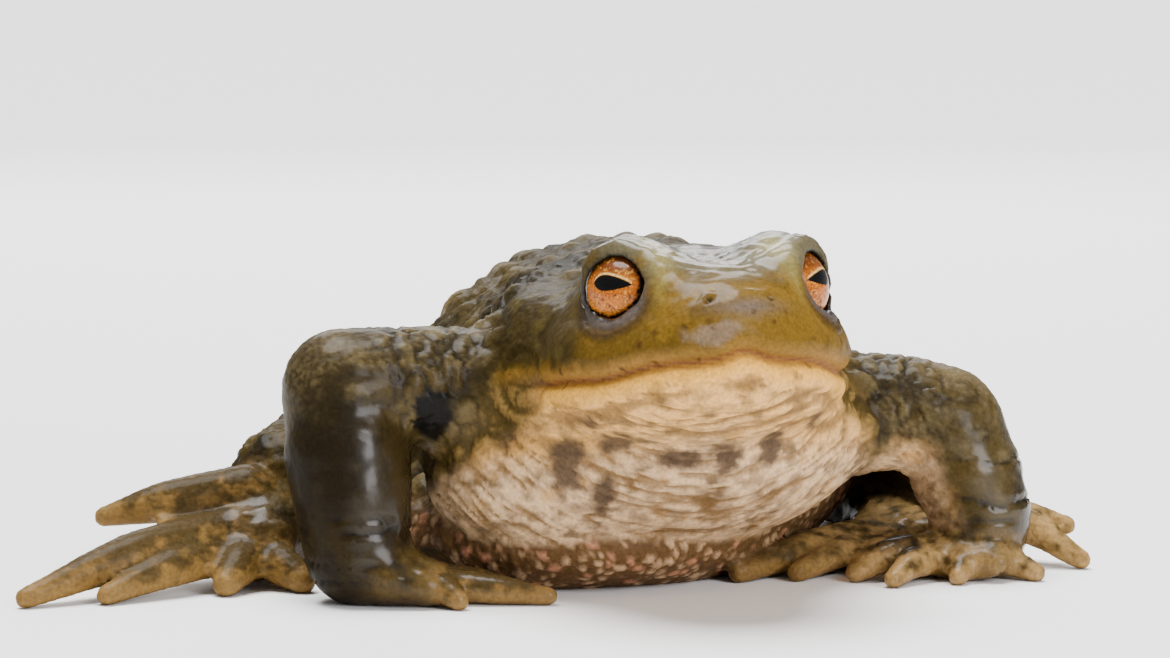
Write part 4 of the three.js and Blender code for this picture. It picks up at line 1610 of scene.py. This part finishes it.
    def colours(self) -> Array:
        """The colour of every point: each region's own, joined by their shares, with painted shade
        in the throat's grooves.

        Returns:
            Linear red, green and blue for each point.
        """
        at = self.at
        coat = self.back()
        facial = np.maximum(at.weight[Region.HEAD] * rise(at.forward, -3, 2), at.temple)
        coat.join(self.face(), facial)
        coat.join(self.limbs(), at.arm + at.leg + at.digit)
        coat.join(self.belly(), at.belly)
        x, y, z = at.p.T
        nape = at.weight[Region.HEAD] * rise(at.forward, 2, 0)
        neck = (at.weight[Region.TRUNK] + nape) * rise(y, -12, -17)
        neck *= rise(at.normal[:, 2], 0.7, 0.2) * rise(z, 10, 14) * (1 - at.temple)
        coat.lay(Tint.NECK_OLIVE, 0.7 * neck)
        coat.lay(Tint.NECK_OCHRE, 0.6 * neck * rise(self.relief, -0.02, 0.06))
        band = rise(at.level, -0.2, -3.0) * at.weight[Region.HEAD] + (1 - at.weight[Region.HEAD])
        coat.join(self.underside(), at.throat * band)
        # painted shade: darker where the relief of throat and chest lies low, except on the spots
        grooves = at.throat * rise(self.relief, -0.05, -0.22) * (1 - self.spots())
        return coat.lay(Tint.GROOVE, 0.65 * grooves).colour


class Finish:
    """A finish in the making: the piece's painted tint, mottled at the scale of its pigment.

    Attributes:
        material: the material.
        tree: its nodes.
        shader: its Principled shader.
        place: places on the piece, in metres.
    """

    def __init__(self, name: str) -> None:
        """Makes the material and the places that its patterns are drawn on.

        Args:
            name: what the finish is, in plain words.
        """
        self.material = bpy.data.materials.new(name)
        self.material.use_nodes = True
        self.tree = self.material.node_tree
        self.shader = self.tree.nodes["Principled BSDF"]
        self.place = add(self.tree, "TexCoord").outputs["Object"]

    def painted(self, name: str) -> bpy.types.Node:
        """A colour or number painted on the piece."""
        return add(self.tree, "Attribute", {"attribute_name": name})

    def math(self, operation: str, a: Socket, b: Socket | float) -> bpy.types.Node:
        """A sum or product of two values."""
        return add(self.tree, "Math", {"operation": operation}, _0=a, _1=b)

    def ranged(self, value: Socket, old: Range, new: Range) -> Socket:
        """A value stretched from one range to another."""
        ends = {"_1": old[0], "_2": old[1], "_3": new[0], "_4": new[1]}
        return add(self.tree, "MapRange", None, _0=value, **ends).outputs[0]

    def mottle(self, size: float, detail: float, old: Range, new: Range) -> Socket:
        """Multiplies the tint by a fine noise and links it to the base colour.

        Args:
            size: the size of the specks in millimetres.
            detail: how many finer noises lie on it.
            old: the range of the noise that is used.
            new: what it is stretched to.

        Returns:
            The noise.
        """
        noise = add(self.tree, "TexNoise", Vector=self.place, Scale=1 / (size * MM), Detail=detail)
        pale, tint = self.ranged(noise.outputs[0], old, new), self.painted("tint").outputs["Color"]
        shade = add(self.tree, "MixRGB", {"blend_type": "MULTIPLY"}, _0=1.0, _1=tint, _2=pale)
        self.link(shade, "Base Color")
        return noise.outputs[0]

    def link(self, node: bpy.types.Node, name: str) -> None:
        """Links a node's result to an input of the shader."""
        self.tree.links.new(node.outputs[0], self.shader.inputs[name])

    def set(self, **values: float) -> None:
        """Sets the shader's own inputs, named with _ for a space."""
        for name, value in values.items():
            self.shader.inputs[name.replace("_", " ")].default_value = value


class WetSkin(Finish):
    """Wet toad skin: dry horny granules under a film of slime, so broad sheen and small glints."""

    GRANULE = 0.7
    GRANULE_HEIGHT = 0.22
    PIGMENT = 0.35
    PIGMENT_HEIGHT = 0.06
    FILM = 0.95

    def __init__(self) -> None:
        """Granules are about 0.7 mm across, and pigment is mottled at about 0.35 mm."""
        super().__init__("wet_granular_skin")
        tree, scale = self.tree, 1 / (self.GRANULE * MM)
        wet, grain = self.painted("wet").outputs["Fac"], self.painted("grain").outputs["Fac"]
        granules = add(tree, "TexVoronoi", {"feature": "F1"}, Vector=self.place, Scale=scale)
        noise = self.mottle(self.PIGMENT, 3.0, (0.3, 0.7), (0.8, 1.2))
        gloss = self.ranged(wet, (0.0, 1.0), (0.62, 0.42))
        uneven = self.ranged(noise, (0.2, 0.8), (-0.06, 0.06))
        self.link(self.math("ADD", gloss, uneven), "Roughness")
        self.link(self.math("MULTIPLY", wet, self.FILM), "Coat Weight")
        dome = self.math("MULTIPLY", granules.outputs["Distance"], grain).outputs[0]
        coarse = add(tree, "Bump", {"invert": True}, Strength=0.6,
                     Distance=self.GRANULE_HEIGHT * MM, Height=dome)
        fine = add(tree, "Bump", None, Strength=0.3,
                   Distance=self.PIGMENT_HEIGHT * MM, Height=noise, Normal=coarse.outputs[0])
        self.link(fine, "Normal")
        self.set(IOR=1.36, Specular_IOR_Level=0.09, Coat_Roughness=0.22, Coat_IOR=1.36)


class Cornea(Finish):
    """A living eye: pigment under a clear, wet cornea, so a sharp reflection over dull colour."""

    SPECK = 0.14

    def __init__(self) -> None:
        """Specks of the iris are about 0.14 mm across."""
        super().__init__("wet_cornea_over_iris")
        self.mottle(self.SPECK, 2.0, (0.35, 0.65), (0.7, 1.25))
        self.set(Roughness=0.4, Specular_IOR_Level=0.1)
        self.set(Coat_Weight=0.5, Coat_Roughness=0.02, Coat_IOR=1.34)


class Skin:
    """The toad's skin: one piece that stands for every node of flesh."""

    # Height above the floor at which the relief has its full height, in millimetres
    FLOOR_FADE = 0.6
    STEEPNESS_FLOOR = 0.25
    # How wet the skin is: everywhere, and more on some of its parts
    DAMPNESS = 0.12
    FOREARM_WET = 0.8
    PAW_WET = 0.35
    CROWN_WET = 0.75
    UPPER_ARM_WET = 0.1
    THROAT_DRY = 0.7
    BELLY_DRY = 0.5
    # How much of its grain the skin lacks on its smooth parts
    SMOOTH_HEAD = 0.6
    SMOOTH_THROAT = 0.85
    SMOOTH_FOREARM = 0.5

    def __init__(self, body: Body, lattice: Lattice) -> None:
        """Keeps the field and the lattice that it is read on."""
        self.body = body
        self.lattice = lattice

    def surface(self) -> tuple[Array, Array, Array]:
        """The bare surface: a net, moved onto the field's zero along the slope by one Newton step.

        Returns:
            Vertices, quads and the direction outward at each vertex.
        """
        axes, values = self.lattice.read(self.body)
        vertices, quads = surface_net(axes, values)
        slope = self.body.slope(vertices)
        steep = np.maximum((slope**2).sum(1), self.STEEPNESS_FLOOR)
        vertices -= (self.body.everywhere(vertices) / steep)[:, None] * slope
        LOG.info("skin: lattice %s, %d triangles", values.shape, 2 * len(quads))
        return vertices, quads, unit(slope)

    def build(self) -> bpy.types.Object:
        """Makes the surface, raises its relief and paints it.

        Returns:
            The piece.
        """
        vertices, quads, normal = self.surface()
        at = Survey.of(self.body, vertices, normal)
        height = Relief(self.body, at).height()
        clear = rise(vertices[:, 2], 0.0, self.FLOOR_FADE)
        raised = vertices + normal * (height * clear)[:, None]
        raised[:, 2] = np.maximum(raised[:, 2], 0)
        piece = mesh_object("skin", raised, quads)
        paint(piece, "tint", Pigment(self.body, at, height).colours())
        paint(piece, "wet", self.wetness(at))
        smooth = self.SMOOTH_HEAD * at.weight[Region.HEAD] + self.SMOOTH_THROAT * at.throat
        smooth = smooth + self.SMOOTH_FOREARM * at.weight[Region.FOREARM]
        paint(piece, "grain", np.clip(1 - smooth, 0, 1))
        piece.data.materials.append(WetSkin().material)
        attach(piece, "root")
        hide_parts(*[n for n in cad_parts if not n.startswith("eye")])
        return piece

    def wetness(self, at: Survey) -> Array:
        """How much slime shows: most on the forearms' sides that face left, on the crown and paws.

        Args:
            at: where the points are.

        Returns:
            0 where dry, 1 where wet, for each point.
        """
        facing = rise(at.normal[:, 0], -0.35, 0.1)
        paws = at.share(Region.HAND, Region.FOOT, Region.FINGER)
        wet = self.DAMPNESS + self.FOREARM_WET * at.weight[Region.FOREARM] * facing
        wet = wet + self.PAW_WET * paws
        snout = rise(at.forward, 14, 17)
        crown = rise(at.normal[:, 2], 0.5, 0.85) * rise(at.forward, 3, 7) * (1 - 0.6 * snout)
        wet = wet + self.CROWN_WET * at.weight[Region.HEAD] * crown
        wet = wet + self.UPPER_ARM_WET * at.weight[Region.UPPER_ARM]
        dry = 1 - self.THROAT_DRY * at.throat - self.BELLY_DRY * at.belly
        return np.clip(wet * dry, 0, 1)


class Eye:
    """An eyeball with a copper iris and a level pupil."""

    RINGS = 130
    SPOKES = 360
    # The angle from the front grows with a ring's number and with its cube, in these shares
    RING_SHARES = (0.42, 0.58)
    # Of the pupil: height of its corners, half widths towards the ear and the nose, and how far
    # its edge bows above and below the corners
    PUPIL_LEVEL = 0.42
    PUPIL_REACH = (1.75, 2.0)
    PUPIL_TOP = 0.7
    PUPIL_BOTTOM = 0.66

    def __init__(self, build: Build, side: int) -> None:
        """Keeps the animal's sizes, and the side: 1 for left, -1 for right."""
        self.build_sizes = build
        self.side = side

    def build(self) -> bpy.types.Object:
        """A globe whose rings crowd towards the front, where the iris is, painted ring by ring.

        Returns:
            The piece.
        """
        share = np.linspace(0, 1, self.RINGS)
        even, crowded = self.RING_SHARES
        polar = math.pi * (even * share + crowded * share**3)
        spoke = np.linspace(0, 2 * math.pi, self.SPOKES, endpoint=False)
        t, f = (g.ravel() for g in np.meshgrid(polar[1:-1], spoke, indexing="ij"))
        axis = self.build_sizes.eye_axis(self.side)
        nasal = unit(np.cross(axis, [0, 0, 1])) * self.side
        upright = unit(np.cross(nasal, axis)) * self.side
        upright = upright if upright[2] > 0 else -upright
        radius = self.build_sizes.eye_radius
        flat = np.column_stack([np.sin(t) * np.cos(f), np.sin(t) * np.sin(f), np.cos(t)])
        flat = np.vstack([[0, 0, 1], flat, [0, 0, -1]]) * radius
        basis = np.stack([nasal, upright, axis])
        places = flat @ basis + self.build_sizes.eye_centre(self.side)
        name = "eye_globe_left" if self.side > 0 else "eye_globe_right"
        piece = mesh_object(name, places, self.faces(np.linalg.det(basis) > 0))
        paint(piece, "tint", self.colours(flat[:, 0], flat[:, 1], flat[:, 2]))
        piece.data.materials.append(Cornea().material)
        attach(piece, "root")
        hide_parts("eye_left" if self.side > 0 else "eye_right")
        return piece

    def faces(self, outward: bool) -> Array:
        """Triangles between the rings, with a fan at each pole.

        Args:
            outward: whether the rings run so that these faces look outward.

        Returns:
            Rows of three vertex numbers.
        """
        n, rings = self.SPOKES, self.RINGS - 2
        k = np.arange(n)
        following = (k + 1) % n
        rows = []
        start = 1 + n * np.arange(rings - 1)[:, None]
        a, b = start + k, start + following
        rows.append(np.stack([a, a + n, b + n], -1).reshape(-1, 3))
        rows.append(np.stack([a, b + n, b], -1).reshape(-1, 3))
        last = 1 + n * (rings - 1)
        rows.append(np.stack([0 * k, 1 + k, 1 + following], -1))
        rows.append(np.stack([0 * k + last + n, last + following, last + k], -1))
        faces = np.vstack(rows)
        return faces if outward else faces[:, ::-1]

    def colours(self, x: Array, y: Array, ahead: Array) -> Array:
        """Pupil, iris and rim, with a painted highlight on the pupil's upper edge, from places on
        the globe in millimetres.

        Args:
            x: places towards the nose.
            y: places upward.
            ahead: places towards the front.

        Returns:
            Linear red, green and blue for each place.
        """
        out = np.hypot(x, y)
        p = np.column_stack([x, y, 0 * x]) + 30 * self.side
        veins = np.abs(Noise(95).fractal(p / 0.42, 2))
        fleck = Noise(96).fractal(p / 0.2, 2)
        coat = Coat.of(Tint.IRIS_COPPER, Tint.IRIS_ORANGE, rise(y, -0.3, -2.0))
        coat.lay(Tint.IRIS_SHADE, rise(y + 0.3 * fleck, 0.6, 1.9))
        coat.lay(Tint.IRIS_GOLD, 0.5 * rise(fleck, 0.2, 0.5))
        coat.lay(Tint.IRIS_VEIN, 0.85 * rise(veins, 0.09, 0.02))
        ring = rise(np.hypot(x, y - 0.35) + 0.3 * fleck + 0.14 * x, 2.5, 2.9)
        coat.lay(Tint.EYE_RIM, ring)
        wide = np.where(x < -0.1, *self.PUPIL_REACH)
        arch = np.maximum(1 - (np.abs(x + 0.1) / wide) ** 2.2, 0)
        fat = 1 - 0.22 * x
        top = self.PUPIL_LEVEL + self.PUPIL_TOP * fat * arch**0.6
        bottom = self.PUPIL_LEVEL - self.PUPIL_BOTTOM * fat * arch**0.75
        lens = np.minimum(top - y, y - bottom)
        # painted highlight: pale gold along the upper edge of the pupil only
        coat.lay(Tint.PUPIL_RIM, 0.6 * bell(lens, -0.12, 0.1) * rise(y, 0.1, 0.7) * (arch > 0.02))
        coat.lay(Tint.PUPIL, rise(lens, -0.03, 0.04) * (ahead > 0))
        return coat.lay(Tint.EYE_BACK, rise(ahead, 1.6, 1.0)).colour


def hang(name: str, data: bpy.types.ID) -> bpy.types.Object:
    """A light or camera as an object in the scene."""
    thing = bpy.data.objects.new(name, data)
    bpy.context.scene.collection.objects.link(thing)
    return thing


@dataclass(frozen=True)
class Softbox:
    """A rectangular soft light that faces a point, in millimetres and watts."""

    name: str
    place: tuple[float, float, float]
    aim: tuple[float, float, float]
    size: tuple[float, float]
    watts: float
    colour: str

    def build(self) -> None:
        """Hangs the light and turns it to what it faces."""
        data = bpy.data.lights.new(self.name, "AREA")
        data.shape = "RECTANGLE"
        data.size, data.size_y = self.size[0] * MM, self.size[1] * MM
        data.energy = self.watts
        data.color = tuple(linear(self.colour))
        lamp = hang(self.name, data)
        lamp.location = Vector(self.place) * MM
        ahead = (Vector(self.aim) - Vector(self.place)).normalized()
        lamp.rotation_euler = ahead.to_track_quat("-Z", "Y").to_euler()


class Stage:
    """The pale floor, the soft lights and the camera."""

    FOCAL_PIXELS = 4180.0
    PHOTO_WIDTH = 1170
    SENSOR = 36.0
    LOOK_DOWN = 6.0
    LOOK_ROUND = 9.0
    CAMERA = (0.0, -375.3, 65.35)
    PIVOT = (5.0, 30.0)
    FLOOR_HALF = 6000.0
    FLOOR_GAP = 0.02
    WORLD_STRENGTH = 0.3
    OVERHEAD_STRENGTH = 8.2
    OVERHEAD_SPREAD = 42.0
    OVERHEAD_TILT = (-8.0, -6.0)
    SOFTBOXES = (
        Softbox("front_softbox", (320, -500, 270), (-10, -10, 15), (260, 380), 3.9, "#fbfbff"),
        Softbox("rear_softbox", (60, 520, 320), (0, 0, 15), (400, 240), 1.7, "#ffffff"),
    )

    def camera(self) -> None:
        """The camera of the photo: its place is worked out in axes turned with its view."""
        turn = math.radians(self.LOOK_ROUND)
        across = self.CAMERA[0] - self.PIVOT[0]
        away = self.CAMERA[1] - self.PIVOT[1]
        x = across * math.cos(turn) + away * math.sin(turn)
        y = -across * math.sin(turn) + away * math.cos(turn)
        data = bpy.data.cameras.new("camera")
        data.sensor_width = self.SENSOR
        data.lens = self.FOCAL_PIXELS / self.PHOTO_WIDTH * self.SENSOR
        data.clip_start = 10 * MM
        camera = hang("camera", data)
        camera.location = Vector((np.array([x, y, self.CAMERA[2]]) + ORIGIN) * MM)
        camera.rotation_euler = (math.radians(90 - self.LOOK_DOWN), 0, -turn)
        bpy.context.scene.camera = camera

    def overhead(self) -> None:
        """A broad even light from above and a little behind, as from a white ceiling of lamps."""
        data = bpy.data.lights.new("overhead", "SUN")
        data.energy = self.OVERHEAD_STRENGTH
        data.angle = math.radians(self.OVERHEAD_SPREAD)
        hang("overhead", data).rotation_euler = (*map(math.radians, self.OVERHEAD_TILT), 0)

    def floor(self) -> None:
        """White paper, dull and nearly without sheen, just under the toad."""
        half = self.FLOOR_HALF
        corners = np.array([(-half, -half, 0), (half, -half, 0), (half, half, 0), (-half, half, 0)])
        floor = mesh_object("floor", corners - [0, 0, self.FLOOR_GAP], np.array([[0, 1, 2, 3]]))
        paper = Finish("white_paper_sweep")
        paper.set(Roughness=0.7, Specular_IOR_Level=0.15)
        paper.shader.inputs["Base Color"].default_value = (*linear("#f2f2f2"), 1)
        floor.data.materials.append(paper.material)

    def build(self) -> None:
        """Sets up floor, world, lights and camera."""
        self.floor()
        world = bpy.data.worlds.new("studio")
        world.use_nodes = True
        sky = world.node_tree.nodes["Background"]
        sky.inputs["Color"].default_value = (1, 1, 1, 1)
        sky.inputs["Strength"].default_value = self.WORLD_STRENGTH
        bpy.context.scene.world = world
        self.overhead()
        for softbox in self.SOFTBOXES:
            softbox.build()
        self.camera()
        LOG.info("stage: floor, world, three lights and camera")


def main() -> None:
    """Builds the toad and its stage, piece by piece."""
    logging.basicConfig(level=logging.INFO, format="%(message)s")
    body = Body()
    Skin(body, Lattice(Lattice.FULL)).build()
    for side in (1, -1):
        LOG.info("eye: %s", Eye(BUILD, side).build().name)
    Stage().build()


if __name__ == "__main__":
    main()
